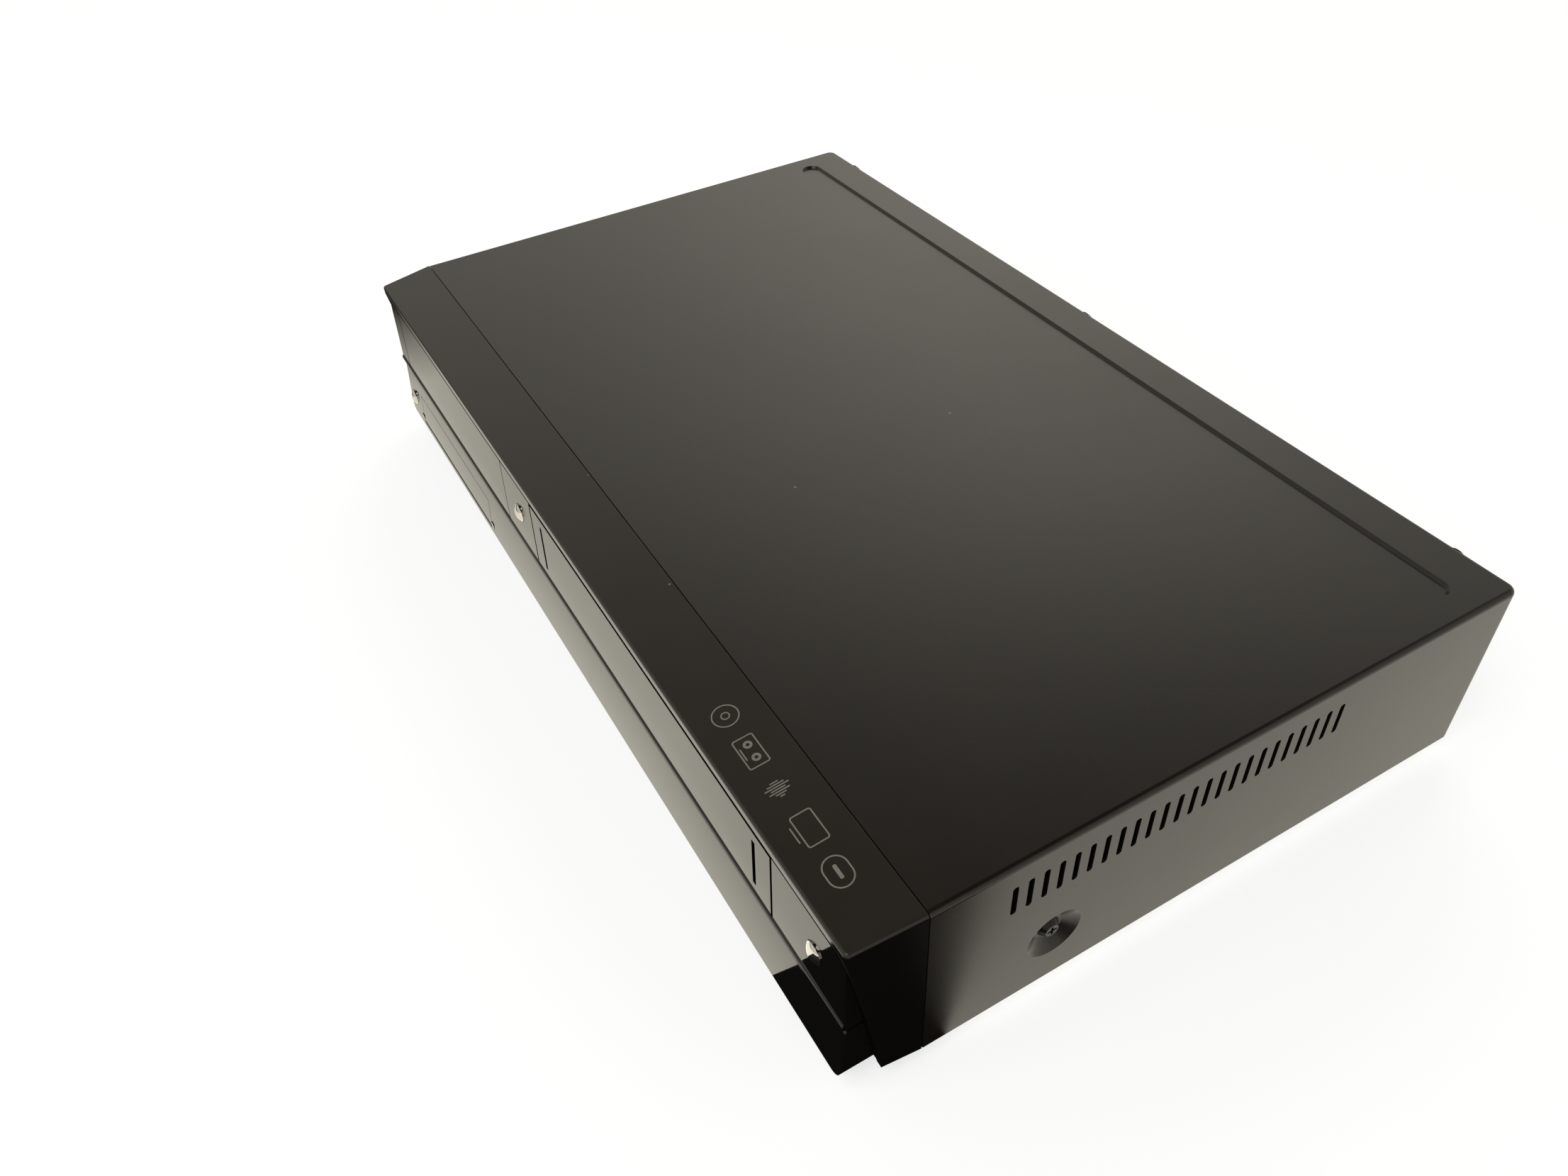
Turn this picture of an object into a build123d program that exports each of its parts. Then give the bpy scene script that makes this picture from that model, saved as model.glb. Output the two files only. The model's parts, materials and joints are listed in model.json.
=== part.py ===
"""A combined disc and video cassette player: casing, disc loader, tape deck and electronics.

The origin is under the middle of the casing, on the surface it stands on.
X points right seen from the front, Y points to the back and Z points up. All sizes are in millimetres.
"""

import math
import os

from build123d import *

os.makedirs("parts", exist_ok=True)

# ---------------------------------------------------------------- driving dimensions: casing
cover_width = 430.0  # across the sides of the metal cover
cover_height = 71.7  # top of the cover to its lower edge
cover_depth = 233.4  # from the fascia seam to the rear edge
hood_depth = 24.4  # from the fascia seam to the front lip
front_lean = 2.3  # the lower front edge stands this far ahead of the lip
socket_reach = 8.0  # aerial sockets behind the rear edge
foot_height = 6.8  # under the lower edge of the cover
sheet = 0.8  # steel of the cover
fold_radius = 2.0  # outside of the cover's folds
cover_corner = 4.0  # rear corners of the cover in plan
rear_flange = 9.0  # the cover's rear edge folds down by this
seam_gap = 0.4  # open joint between the fascia and the cover
clearance = 0.3  # between neighbouring parts that don't touch

# Pressed groove along the rear of the top
groove_length = 409.5
groove_width = 10.9
groove_depth = 1.2
groove_inset = 22.65  # centre line to the rear edge
# Ventilation slots in each side
vent_count = 24
vent_pitch = 5.49
vent_width = 2.1
vent_length = 13.2
vent_first = 29.2  # first slot behind the seam
vent_drop = 16.5  # slot centres below the top
# Dished screw seat in each side
dish_radius = 10.0
dish_floor = 5.4
dish_depth = 3.0
dish_back = 47.3  # behind the seam
dish_drop = 48.3  # below the top
screw_head_radius = 4.0
screw_head_height = 2.0
screw_shank_radius = 1.5

# ---------------------------------------------------------------- driving dimensions: front
hood_drop = 2.6  # the hood slopes down to the lip
hood_taper = 2.3  # each end of the hood narrows towards the lip
lip_height = 3.7
lip_radius = 1.3
hood_edge_radius = 1.5
rim_middle_back = 6.3  # the wing's front rim behind the lip, at the belt
rim_foot_back = 10.8  # and at its foot
wall_back = 11.0  # moulded front wall behind the lip
moulding = 2.2  # wall of the moulded parts
block_inset = 4.0  # ends of the glossy blocks inside the cover's sides
block_corner = 4.5  # outer corners of the glossy blocks
edge_round = 1.5  # upright front edges of the glossy blocks
upper_back_top = 1.3  # upper face behind the lip at its top
upper_lean = 1.5  # the upper face comes forward by this down to the belt
belt_drop = 40.3  # top of the belt below the top
belt_height = 3.2
belt_proud = 0.7  # ahead of the upper face
belt_undercut = 0.6  # the belt's rounding ends this far behind the upper face
lower_gap = 1.2  # under the belt
lower_foot_drop = 71.0  # foot of the lower face below the top
lower_top_back = 0.2  # lower face behind the lip at its top
panel_plate = 2.6  # front plate of the glossy blocks
door_gap_top = 1.0
door_gap_side = 0.5
door_gap_foot = 0.4

tray_inset = 88.35  # centre of the disc tray from the casing's left side
tray_door_margin = 4.65  # the tray's door is wider than the tray at each end
deck_x = 74.35  # centre of the tape deck
cassette_door_margin = 1.95  # the cassette door is wider than a cassette at each end
cassette_door_plate = 2.6
door_slot_width = 1.4
door_slot_length = 21.0
door_slot_inset = 10.6
door_slot_drop = 26.0
hinge_pin_radius = 1.2
running_fit = 0.05  # radial, around pins and shafts

button_radius = 3.8
button_dome = 2.0
button_travel = 0.8
button_fit = 0.2
disc_button_offset = 1.3  # right of the middle between the two upper doors
tape_button_inset = 16.0  # from the right end of the glossy block
upper_button_drop = 25.5
power_button_inset = 8.0  # from the left end of the glossy block
power_button_drop = 61.0

jack_door_inset = 21.0  # from the left end of the glossy block
jack_door_width = 100.0
jack_door_top_drop = 54.0
jack_door_foot_drop = 68.6
jack_door_plate = 2.2
jack_pin_radius = 0.8

# ---------------------------------------------------------------- driving dimensions: inside
pan_sheet = 1.0
pan_wall = 12.0
pan_flange = 3.2  # low front and rear edges
pan_lift = 0.6  # pan underside above the cover's lower edge
board = 1.6  # thickness of the circuit boards
board_lift = 5.0  # boards above the pan

tray_length = 168.0
tray_width = 134.0
tray_plate = 5.0
tray_height = 50.0  # underside of the tray
disc_radius = 60.0
disc_back = 66.0  # disc centre behind the front edge of the tray
turntable_radius = 14.0
rack_module = 1.5
pinion_teeth = 16

cassette_width = 188.0
cassette_height = 25.0
cage_length = 60.0
cage_sheet = 1.0
cage_travel_in = 22.0
cage_travel_down = 11.0
cage_floor_drop = 38.0  # underside of the cage's contents below the top
deck_sheet = 1.2
deck_height = 28.0  # top of the deck plate
reel_spacing = 92.0
drum_radius = 31.0
drum_tilt = 6.0

# ---------------------------------------------------------------- derived places
half_width = cover_width / 2
overall_depth = front_lean + hood_depth + cover_depth + socket_reach
cover_z = foot_height
top_z = foot_height + cover_height
front_y = -overall_depth / 2
lip_y = front_y + front_lean
seam_y = lip_y + hood_depth
cover_y = seam_y + seam_gap
rear_y = seam_y + cover_depth
rear_panel_y = rear_y - sheet - clearance  # outer face of the rear panel
pan_z = cover_z + pan_lift
floor_z = pan_z + pan_sheet
pan_half = half_width - sheet - clearance
pan_front_y = seam_y + clearance
pan_back_y = rear_panel_y - pan_sheet - clearance
board_z = floor_z + board_lift
board_top_z = board_z + board
front_wall_y = lip_y + wall_back
front_wall_back_y = front_wall_y + moulding
block_back_y = front_wall_y

belt_top_z = top_z - belt_drop
belt_foot_z = belt_top_z - belt_height
lip_top_z = top_z - hood_drop
lip_foot_z = lip_top_z - lip_height
upper_top_z = lip_foot_z - clearance
lower_top_z = belt_foot_z - lower_gap
lower_foot_z = top_z - lower_foot_drop
door_top_z = lip_foot_z - door_gap_top
door_foot_z = belt_top_z + door_gap_foot
block_half = half_width - block_inset
tray_x = tray_inset - half_width
tray_door_left = tray_x - tray_width / 2 - tray_door_margin
tray_door_right = tray_x + tray_width / 2 + tray_door_margin
cassette_door_left = deck_x - cassette_width / 2 - cassette_door_margin
cassette_door_right = deck_x + cassette_width / 2 + cassette_door_margin
jack_door_left = jack_door_inset - block_half
jack_door_right = jack_door_left + jack_door_width
disc_button_x = (tray_door_right + cassette_door_left) / 2 + disc_button_offset
tape_button_x = block_half - tape_button_inset
power_button_x = power_button_inset - block_half


def behind(distance):
    """Y of a place this far behind the front lip."""
    return lip_y + distance


def below(distance):
    """Z of a place this far below the top of the cover."""
    return top_z - distance


def upper_face_y(z):
    """Y of the leaning upper face at a height."""
    share = (lip_foot_z - z) / (lip_foot_z - belt_top_z)
    return behind(upper_back_top - upper_lean * share)


def lower_face_y(z):
    """Y of the leaning lower face at a height."""
    share = (lower_top_z - z) / (lower_top_z - lower_foot_z)
    return behind(lower_top_back - (lower_top_back + front_lean) * share)


def hood_half(y):
    """Half the width of the fascia at a depth: it narrows towards the lip."""
    return half_width - hood_taper * (seam_y - y) / hood_depth


def facing_front(y):
    """Plane across the machine at a depth; extrusions come forward."""
    return Plane.XZ.offset(-y)


def outline(*points):
    """A straight-sided profile of the current sketch, with its points where they are given."""
    return Polygon(*points, align=None)


# ---------------------------------------------------------------- casing
groove_y = rear_y - groove_inset
vent_y = seam_y + vent_first + vent_pitch * (vent_count - 1) / 2
dish_y = seam_y + dish_back
dish_z = below(dish_drop)
cover_mid_y = (cover_y + rear_y) / 2

with BuildPart() as cover_inside:
    with BuildSketch(Plane.XY.offset(cover_z)):
        with Locations((0, cover_mid_y - sheet / 2)):
            Rectangle(cover_width - 2 * sheet, rear_y - cover_y - sheet)
    extrude(amount=cover_height - sheet)
    fillet(cover_inside.edges().filter_by(Axis.Z).group_by(Axis.Y)[-1], cover_corner - sheet)
    inside_top = cover_inside.faces().sort_by(Axis.Z)[-1]
    fillet(inside_top.edges().sort_by(Axis.Y)[1:], fold_radius - sheet)

with BuildPart() as top_cover:
    with BuildSketch(Plane.XY.offset(cover_z)):
        with Locations((0, cover_mid_y)):
            Rectangle(cover_width, rear_y - cover_y)
    extrude(amount=cover_height)
    fillet(top_cover.edges().filter_by(Axis.Z).group_by(Axis.Y)[-1], cover_corner)
    cover_top = top_cover.faces().sort_by(Axis.Z)[-1]
    fillet(cover_top.edges().sort_by(Axis.Y)[1:], fold_radius)
    add(cover_inside.part, mode=Mode.SUBTRACT)
    # The rear edge folds down as a narrow flange, and the sides fold in a little.
    with BuildSketch(Plane.XZ.offset(-(rear_y + 1))):
        with Locations((0, cover_z + (cover_height - rear_flange) / 2)):
            Rectangle(cover_width - 2 * rear_flange, cover_height - rear_flange)
    extrude(amount=cover_corner + 2, mode=Mode.SUBTRACT)
    # The groove is pressed down, so its ridge shows on the underside.
    with BuildSketch(Plane.XY.offset(top_z - sheet)):
        with Locations((0, groove_y)):
            SlotOverall(groove_length, groove_width)
    extrude(amount=-groove_depth)
    with BuildSketch(Plane.XY.offset(top_z)):
        with Locations((0, groove_y)):
            SlotOverall(groove_length - sheet, groove_width - sheet)
    extrude(amount=-groove_depth, taper=40, mode=Mode.SUBTRACT)
    # Dished screw seats, one in each side.
    for side in (-1, 1):
        seat = Plane(origin=(side * half_width, dish_y, dish_z), z_dir=(-side, 0, 0))
        with Locations(seat.offset(sheet / 2)):
            Cone(
                dish_radius + sheet / 2,
                dish_floor + sheet,
                dish_depth + sheet / 2,
                align=(Align.CENTER, Align.CENTER, Align.MIN),
            )
        with Locations(seat):
            Cone(
                dish_radius,
                dish_floor,
                dish_depth,
                align=(Align.CENTER, Align.CENTER, Align.MIN),
                mode=Mode.SUBTRACT,
            )
            Cylinder(screw_shank_radius + running_fit, 20, mode=Mode.SUBTRACT)
    # One sketch cuts the slots through both sides.
    with BuildSketch(Plane.YZ):
        with Locations((vent_y, below(vent_drop))):
            with GridLocations(vent_pitch, 1, vent_count, 1):
                SlotOverall(vent_length, vent_width, rotation=90)
    extrude(amount=half_width + 1, both=True, mode=Mode.SUBTRACT)

# Round-headed screws with a cross recess: one in each side's dish and three through the rear flange.
rear_screw_inset = 24.0
screw_seats = []
for side in (-1, 1):
    screw_seats.append(Plane(origin=(side * (half_width - dish_depth), dish_y, dish_z), z_dir=(side, 0, 0)))
for x in (rear_screw_inset - half_width, 0, half_width - rear_screw_inset):
    screw_seats.append(Plane(origin=(x, rear_y, below(rear_flange / 2)), z_dir=(0, 1, 0)))
with BuildPart() as cover_screws:
    for seat in screw_seats:
        with Locations(seat):
            Cone(
                screw_head_radius,
                screw_head_radius * 0.6,
                screw_head_height,
                align=(Align.CENTER, Align.CENTER, Align.MIN),
            )
        with BuildSketch(seat.offset(screw_head_height)):
            Rectangle(3.6, 0.9)
            Rectangle(0.9, 3.6)
        extrude(amount=-1.0, mode=Mode.SUBTRACT)
    for seat in screw_seats[:2]:
        with BuildSketch(seat):
            Circle(screw_shank_radius)
        extrude(amount=-5.0)

foot_inset = 45.0
foot_rear_inset = 32.0
foot_xs = (foot_inset - half_width, half_width - foot_inset)
foot_places = [(x, y) for x in foot_xs for y in (front_y + foot_inset, rear_y - foot_rear_inset)]
foot_radius = 17.0
pad_height = 1.4


def board_posts(left, right, front, back, inset):
    """The four posts under a board's corners."""
    return [(x, y) for x in (left + inset, right - inset) for y in (front + inset, back - inset)]


# Edges of the boards in plan.
main_board_right = half_width - 9.0
main_board_left = deck_x - 118.35
main_board_front = behind(34.0)
main_board_back = behind(242.0)
power_board_left = 8.0 - half_width
power_board_right = power_board_left + 146.0
power_board_front = behind(181.0)
power_board_back = behind(249.0)
power_board_x = (power_board_left + power_board_right) / 2
power_board_y = (power_board_front + power_board_back) / 2
disc_board_half = 62.0
disc_board_front = behind(48.0)
disc_board_back = behind(154.0)
board_post_inset = 6.0
jack_inset = 4.0  # the jacks inside the ends of their door
jack_left = jack_door_left + jack_inset
jack_right = jack_door_right - jack_inset
jack_board_y = behind(36.0)
jack_board_lift = 2.0

frame_margin = 6.0  # side walls of the loader frame outside the tray
frame_half = tray_width / 2 + frame_margin
loader_post_offset = frame_half - 7.0
loader_post_xs = (tray_x - loader_post_offset, tray_x + loader_post_offset)
loader_posts = [(x, y) for x in loader_post_xs for y in (behind(30), behind(160))]
main_board_posts = board_posts(
    main_board_left, main_board_right, main_board_front, main_board_back, board_post_inset + 2.0
)
power_board_posts = board_posts(
    power_board_left, power_board_right, power_board_front, power_board_back, board_post_inset
)
disc_board_posts = board_posts(
    tray_x - disc_board_half, tray_x + disc_board_half, disc_board_front, disc_board_back, board_post_inset
)
jack_board_posts = [
    (jack_left + board_post_inset, jack_board_y + 4.0),
    (jack_right - board_post_inset, jack_board_y + 4.0),
]
loader_z = 34.0  # underside of the loader frame
post_radius = 2.5

with BuildPart() as chassis_pan:
    with BuildSketch(Plane.XY.offset(pan_z)):
        with Locations((0, (pan_front_y + pan_back_y) / 2)):
            Rectangle(2 * pan_half, pan_back_y - pan_front_y)
    extrude(amount=pan_wall)
    fillet(chassis_pan.edges().filter_by(Axis.Z), 2.0)
    with BuildSketch(Plane.XY.offset(floor_z)):
        with Locations((0, (pan_front_y + pan_back_y) / 2)):
            Rectangle(2 * (pan_half - pan_sheet), pan_back_y - pan_front_y - 2 * pan_sheet)
    extrude(amount=pan_wall, mode=Mode.SUBTRACT)
    # Low front and rear flanges.
    with BuildSketch(Plane.YZ):
        with Locations(((pan_front_y + pan_back_y) / 2, floor_z + pan_flange + pan_wall / 2)):
            Rectangle(pan_back_y - pan_front_y + 2, pan_wall)
    extrude(amount=pan_half - 4, both=True, mode=Mode.SUBTRACT)
    # Two long stiffening beads, pressed up from below.
    with BuildSketch(Plane.XY.offset(floor_z)):
        for y in (behind(44), behind(176)):
            with Locations((0, y)):
                SlotOverall(300, 9)
    extrude(amount=1.2)
    with BuildSketch(Plane.XY.offset(pan_z)):
        for y in (behind(44), behind(176)):
            with Locations((0, y)):
                SlotOverall(298, 7)
    extrude(amount=1.2, mode=Mode.SUBTRACT)
    # Posts for the boards and the disc loader.
    with BuildSketch(Plane.XY.offset(floor_z)):
        with Locations(*main_board_posts, *power_board_posts, *disc_board_posts):
            Circle(post_radius)
    extrude(amount=board_lift)
    with BuildSketch(Plane.XY.offset(floor_z)):
        with Locations(*jack_board_posts):
            Circle(post_radius)
    extrude(amount=jack_board_lift)
    with BuildSketch(Plane.XY.offset(floor_z)):
        with Locations(*loader_posts):
            Circle(3.0)
    extrude(amount=loader_z - floor_z)
    # Ventilation under the power board, and holes for the foot screws.
    with BuildSketch(Plane.XY.offset(pan_z)):
        with Locations((power_board_x, power_board_y)):
            with GridLocations(12, 16, 7, 3):
                SlotOverall(10, 3, rotation=90)
        with Locations(*foot_places):
            Circle(1.6)
    extrude(amount=pan_sheet, mode=Mode.SUBTRACT)

with BuildPart() as feet:
    with BuildSketch(Plane.XY.offset(pad_height)):
        with Locations(*foot_places):
            Circle(foot_radius)
    extrude(amount=pan_z - pad_height, taper=-4)
    rims = feet.edges().filter_by(GeomType.CIRCLE).group_by(Axis.Z)[0]
    fillet(rims, 1.0)
    with BuildSketch(Plane.XY.offset(pan_z - 1.6)):
        with Locations(*foot_places):
            Circle(foot_radius - 4)
            Circle(4, mode=Mode.SUBTRACT)
    extrude(amount=1.6, mode=Mode.SUBTRACT)

with BuildPart() as foot_pads:
    with BuildSketch():
        with Locations(*foot_places):
            Circle(foot_radius - 3.5)
            Circle(3.0, mode=Mode.SUBTRACT)
    extrude(amount=pad_height)

# ---------------------------------------------------------------- rear sockets: places in the rear panel
socket_z = board_top_z  # sockets stand on the boards
tuner_inset = 25.0  # aerial sockets from the casing's right side
tuner_x = half_width - tuner_inset
scart_size = (47.0, 15.0)
scart_pitch = 54.0
scart_x = (tuner_x - 44.0 - scart_pitch, tuner_x - 44.0)
scart_z = socket_z + 3 + scart_size[1] / 2
phono_pitch = 14.0
phono_x = scart_x[0] - 58.0
phono_z = socket_z + 17.0
phono_columns = 3
phono_rows = 2
phono_radius = 4.15
hdmi_x = phono_x - 42.0
hdmi_size = (15.4, 6.0)
hdmi_z = socket_z + 1 + hdmi_size[1] / 2
aerial_spacing = 19.0
tuner_z = socket_z + 24.0
aerial_radius = 4.8
aerial_collar_radius = 6.4
aerial_collar_proud = 0.6  # outside the rear panel
inlet_inset = 31.0  # mains inlet from the casing's left side
inlet_x = inlet_inset - half_width
inlet_size = (21.0, 13.0)
inlet_z = socket_z + 4 + inlet_size[1] / 2
fan_inset = 103.0
fan_x = fan_inset - half_width
fan_side = 40.0
fan_depth = 10.0
fan_z = below(34.0)
rear_inner_y = rear_panel_y - pan_sheet
panel_foot_z = floor_z - pan_sheet

with BuildPart() as rear_panel:
    panel_height = top_z - sheet - fold_radius / 2 - panel_foot_z
    with BuildSketch(facing_front(rear_panel_y)):
        with Locations((0, panel_foot_z + panel_height / 2)):
            Rectangle(2 * (pan_half - cover_corner / 2), panel_height)
    extrude(amount=pan_sheet)
    fillet(rear_panel.edges().filter_by(Axis.Y), cover_corner - sheet)
    with BuildSketch(facing_front(rear_panel_y)):
        with Locations(*[(x, scart_z) for x in scart_x]):
            Rectangle(scart_size[0] + 2 * clearance, scart_size[1] + 2 * clearance)
        with Locations((phono_x, phono_z)):
            with GridLocations(phono_pitch, phono_pitch, phono_columns, phono_rows):
                Circle(phono_radius + clearance)
        with Locations((hdmi_x, hdmi_z)):
            Rectangle(hdmi_size[0] + 2 * clearance, hdmi_size[1] + 2 * clearance)
        with Locations((tuner_x, tuner_z)):
            with GridLocations(1, aerial_spacing, 1, 2):
                Circle(aerial_collar_radius + clearance)
        with Locations((inlet_x, inlet_z)):
            Rectangle(inlet_size[0] + 2 * clearance, inlet_size[1] + 2 * clearance)
        # Fan grille: rings of holes around a closed centre.
        with Locations((fan_x, fan_z)):
            for ring, holes in ((7.5, 8), (12.0, 14), (16.5, 20)):
                with PolarLocations(ring, holes):
                    Circle(1.6)
        # Cooling slots beside the fan.
        with Locations((fan_x + 84.0, below(20.0))):
            with GridLocations(6, 1, 12, 1):
                SlotOverall(14, 2.4, rotation=90)
    extrude(amount=pan_sheet, mode=Mode.SUBTRACT)
    # Folded upper and lower edges.
    with BuildSketch(facing_front(rear_inner_y)):
        with Locations((0, panel_foot_z + panel_height - pan_sheet / 2)):
            Rectangle(2 * pan_half - 20, pan_sheet)
    extrude(amount=7.0)

# ---------------------------------------------------------------- front fascia
tray_wall_gap = (tray_width + 10, 25.0)
cassette_door_width = cassette_door_right - cassette_door_left
upper_button_z = below(upper_button_drop)
power_button_z = below(power_button_drop)
button_places = {
    "power_button": (power_button_x, power_button_z),
    "disc_button": (disc_button_x, upper_button_z),
    "tape_button": (tape_button_x, upper_button_z),
}
jack_x = (jack_left + jack_right) / 2
jack_foot_z = 12.0
jack_top_z = 24.0
jack_z = (jack_foot_z + jack_top_z) / 2
window_x = 30.0
window_width = 130.0
window_foot_z = 13.0
window_top_z = 31.0
switch_hole = 7.5

with BuildPart() as front_fascia:
    with BuildSketch(Plane.YZ):
        outline(
            (seam_y, top_z),
            (lip_y, lip_top_z),
            (lip_y, lip_foot_z),
            (behind(rim_middle_back), belt_top_z),
            (behind(rim_foot_back), cover_z),
            (seam_y, cover_z),
        )
    extrude(amount=half_width, both=True)
    # The ends narrow towards the lip.
    with BuildSketch(Plane.XY.offset(cover_z)):
        outline(
            (-hood_half(seam_y), seam_y),
            (-hood_half(lip_y), lip_y),
            (hood_half(lip_y), lip_y),
            (hood_half(seam_y), seam_y),
        )
    extrude(amount=cover_height, mode=Mode.INTERSECT)
    hood_edges = front_fascia.faces().sort_by(Axis.Z)[-1].edges()
    fillet([hood_edges.sort_by(Axis.X)[0], hood_edges.sort_by(Axis.X)[-1]], hood_edge_radius)
    lip_face = front_fascia.faces().sort_by(Axis.Y)[0]
    lip_edges = lip_face.edges().filter_by(Axis.X)
    fillet(lip_edges, lip_radius)
    # Recess for the glossy blocks, open below, with rounded upper corners.
    with BuildSketch(facing_front(front_wall_y)):
        with Locations((0, lip_foot_z)):
            RectangleRounded(
                2 * (block_half + clearance),
                2 * cover_height,
                block_corner + clearance,
                align=(Align.CENTER, Align.MAX),
            )
    extrude(amount=wall_back + front_lean, mode=Mode.SUBTRACT)
    # Hollow back.
    pocket_half = hood_half(front_wall_back_y) - moulding
    with BuildSketch(Plane.YZ):
        outline(
            (seam_y + 1, top_z - moulding),
            (front_wall_back_y, top_z - moulding - hood_drop * (seam_y - front_wall_back_y) / hood_depth),
            (front_wall_back_y, cover_z + moulding),
            (seam_y + 1, cover_z + moulding),
        )
    extrude(amount=pocket_half, both=True, mode=Mode.SUBTRACT)
    # Openings of the front wall.
    with BuildSketch(facing_front(front_wall_back_y)):
        with Locations((tray_x, tray_height + 4)):
            Rectangle(*tray_wall_gap)
        with Locations((deck_x, door_foot_z)):
            Rectangle(cassette_door_width, door_top_z - door_foot_z + 1.2, align=(Align.CENTER, Align.MIN))
        with Locations(*button_places.values()):
            Rectangle(switch_hole, switch_hole)
        with Locations((jack_x, jack_z)):
            Rectangle(jack_right - jack_left + 2 * clearance, jack_top_z - jack_foot_z + 2 * clearance)
        with Locations((window_x, (window_foot_z + window_top_z) / 2)):
            Rectangle(window_width, window_top_z - window_foot_z)
    extrude(amount=moulding, mode=Mode.SUBTRACT)

door_axis_y = upper_face_y(door_top_z) + cassette_door_plate / 2
door_axis_z = door_top_z - cassette_door_plate / 2
ear_width = 3.0
spring_y = door_axis_y + 5.0
spring_z = door_axis_z - 3.4
spring_bore = 1.4
spring_wire = 0.8
spring_length = 4.0

with BuildPart() as upper_panel:
    with BuildSketch(Plane.YZ):
        with BuildLine():
            face = Line((upper_face_y(upper_top_z), upper_top_z), (upper_face_y(belt_top_z), belt_top_z))
            belt = ThreePointArc(
                face @ 1,
                (upper_face_y(belt_top_z) - belt_proud, belt_top_z - belt_height / 2),
                (upper_face_y(belt_top_z) + belt_undercut, belt_foot_z),
            )
            Polyline(belt @ 1, (block_back_y, belt_foot_z), (block_back_y, upper_top_z), face @ 0)
        make_face()
    extrude(amount=block_half, both=True)
    fillet(upper_panel.edges().filter_by(Axis.Y).group_by(Axis.Z)[-1], block_corner)
    # Hollow back above the belt.
    plate_back_y = upper_face_y(upper_top_z) + panel_plate
    with BuildSketch(facing_front(block_back_y)):
        with Locations((0, belt_top_z)):
            Rectangle(
                2 * (block_half - moulding),
                upper_top_z - moulding - belt_top_z,
                align=(Align.CENTER, Align.MIN),
            )
    extrude(amount=block_back_y - plate_back_y, mode=Mode.SUBTRACT)
    # Door openings, open at the top.
    for left, right in ((tray_door_left, tray_door_right), (cassette_door_left, cassette_door_right)):
        with BuildSketch(facing_front(block_back_y)):
            with Locations(((left + right) / 2, belt_top_z)):
                Rectangle(
                    right - left + 2 * door_gap_side,
                    upper_top_z - belt_top_z + 1,
                    align=(Align.CENTER, Align.MIN),
                )
        extrude(amount=wall_back + front_lean, mode=Mode.SUBTRACT)
    # Ears beside the cassette door carry its hinge pins.
    for edge, side in ((cassette_door_left - door_gap_side, -1), (cassette_door_right + door_gap_side, 1)):
        with BuildSketch(Plane.YZ.offset(edge)):
            with Locations((plate_back_y - 0.5, door_axis_z + 1.8)):
                Rectangle(7.4, 7.4, align=(Align.MIN, Align.MAX))
        extrude(amount=side * ear_width)
        with BuildSketch(Plane.YZ.offset(edge)):
            with Locations((door_axis_y, door_axis_z)):
                Circle(hinge_pin_radius + running_fit)
        extrude(amount=side * ear_width, mode=Mode.SUBTRACT)
    # A stud on the left ear holds the door spring.
    with BuildSketch(Plane.YZ.offset(cassette_door_left - door_gap_side - ear_width)):
        with Locations((spring_y, spring_z)):
            Circle(spring_bore - running_fit)
    extrude(amount=-spring_length)
    # Bores for the two upper buttons.
    with BuildSketch(facing_front(plate_back_y)):
        with Locations((disc_button_x, upper_button_z), (tape_button_x, upper_button_z)):
            Circle(button_radius + button_fit)
    extrude(amount=wall_back, mode=Mode.SUBTRACT)

jack_door_foot_z = below(jack_door_foot_drop)
jack_door_top_z = below(jack_door_top_drop)
jack_axis_y = lower_face_y(jack_door_foot_z) + jack_door_plate / 2
jack_axis_z = jack_door_foot_z + jack_door_plate / 2

with BuildPart() as lower_panel:
    with BuildSketch(Plane.YZ):
        outline(
            (lower_face_y(lower_top_z), lower_top_z),
            (lower_face_y(lower_foot_z), lower_foot_z),
            (block_back_y, lower_foot_z),
            (block_back_y, lower_top_z),
        )
    extrude(amount=block_half, both=True)
    fillet(lower_panel.edges().filter_by(Axis.Y).group_by(Axis.Z)[0], block_corner)
    lower_front = lower_panel.faces().sort_by(Axis.Y)[0]
    fillet(lower_front.edges().sort_by(Axis.Z)[-1], edge_round)
    lower_plate_y = lower_face_y(lower_top_z) + panel_plate
    with BuildSketch(facing_front(block_back_y)):
        with Locations((0, lower_foot_z + moulding)):
            Rectangle(
                2 * (block_half - moulding),
                lower_top_z - lower_foot_z - 2 * moulding,
                align=(Align.CENTER, Align.MIN),
            )
    extrude(amount=block_back_y - lower_plate_y, mode=Mode.SUBTRACT)
    with BuildSketch(facing_front(lower_plate_y)):
        with Locations((jack_x, (jack_door_foot_z + jack_door_top_z) / 2)):
            Rectangle(
                jack_door_width + 2 * door_gap_foot,
                jack_door_top_z - jack_door_foot_z + 2 * door_gap_foot,
            )
        with Locations((power_button_x, power_button_z)):
            Circle(button_radius + button_fit)
    extrude(amount=wall_back, mode=Mode.SUBTRACT)
    # Ears beside the jack door carry its hinge pins.
    for edge, side in ((jack_door_left - door_gap_foot, -1), (jack_door_right + door_gap_foot, 1)):
        with BuildSketch(Plane.YZ.offset(edge)):
            with Locations((jack_axis_y + 1.2, jack_axis_z)):
                Rectangle(jack_door_plate + 2.4, jack_door_plate + 2.4)
        extrude(amount=side * ear_width)
        with BuildSketch(Plane.YZ.offset(edge)):
            with Locations((jack_axis_y, jack_axis_z)):
                Circle(jack_pin_radius + running_fit)
        extrude(amount=side * ear_width, mode=Mode.SUBTRACT)

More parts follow.
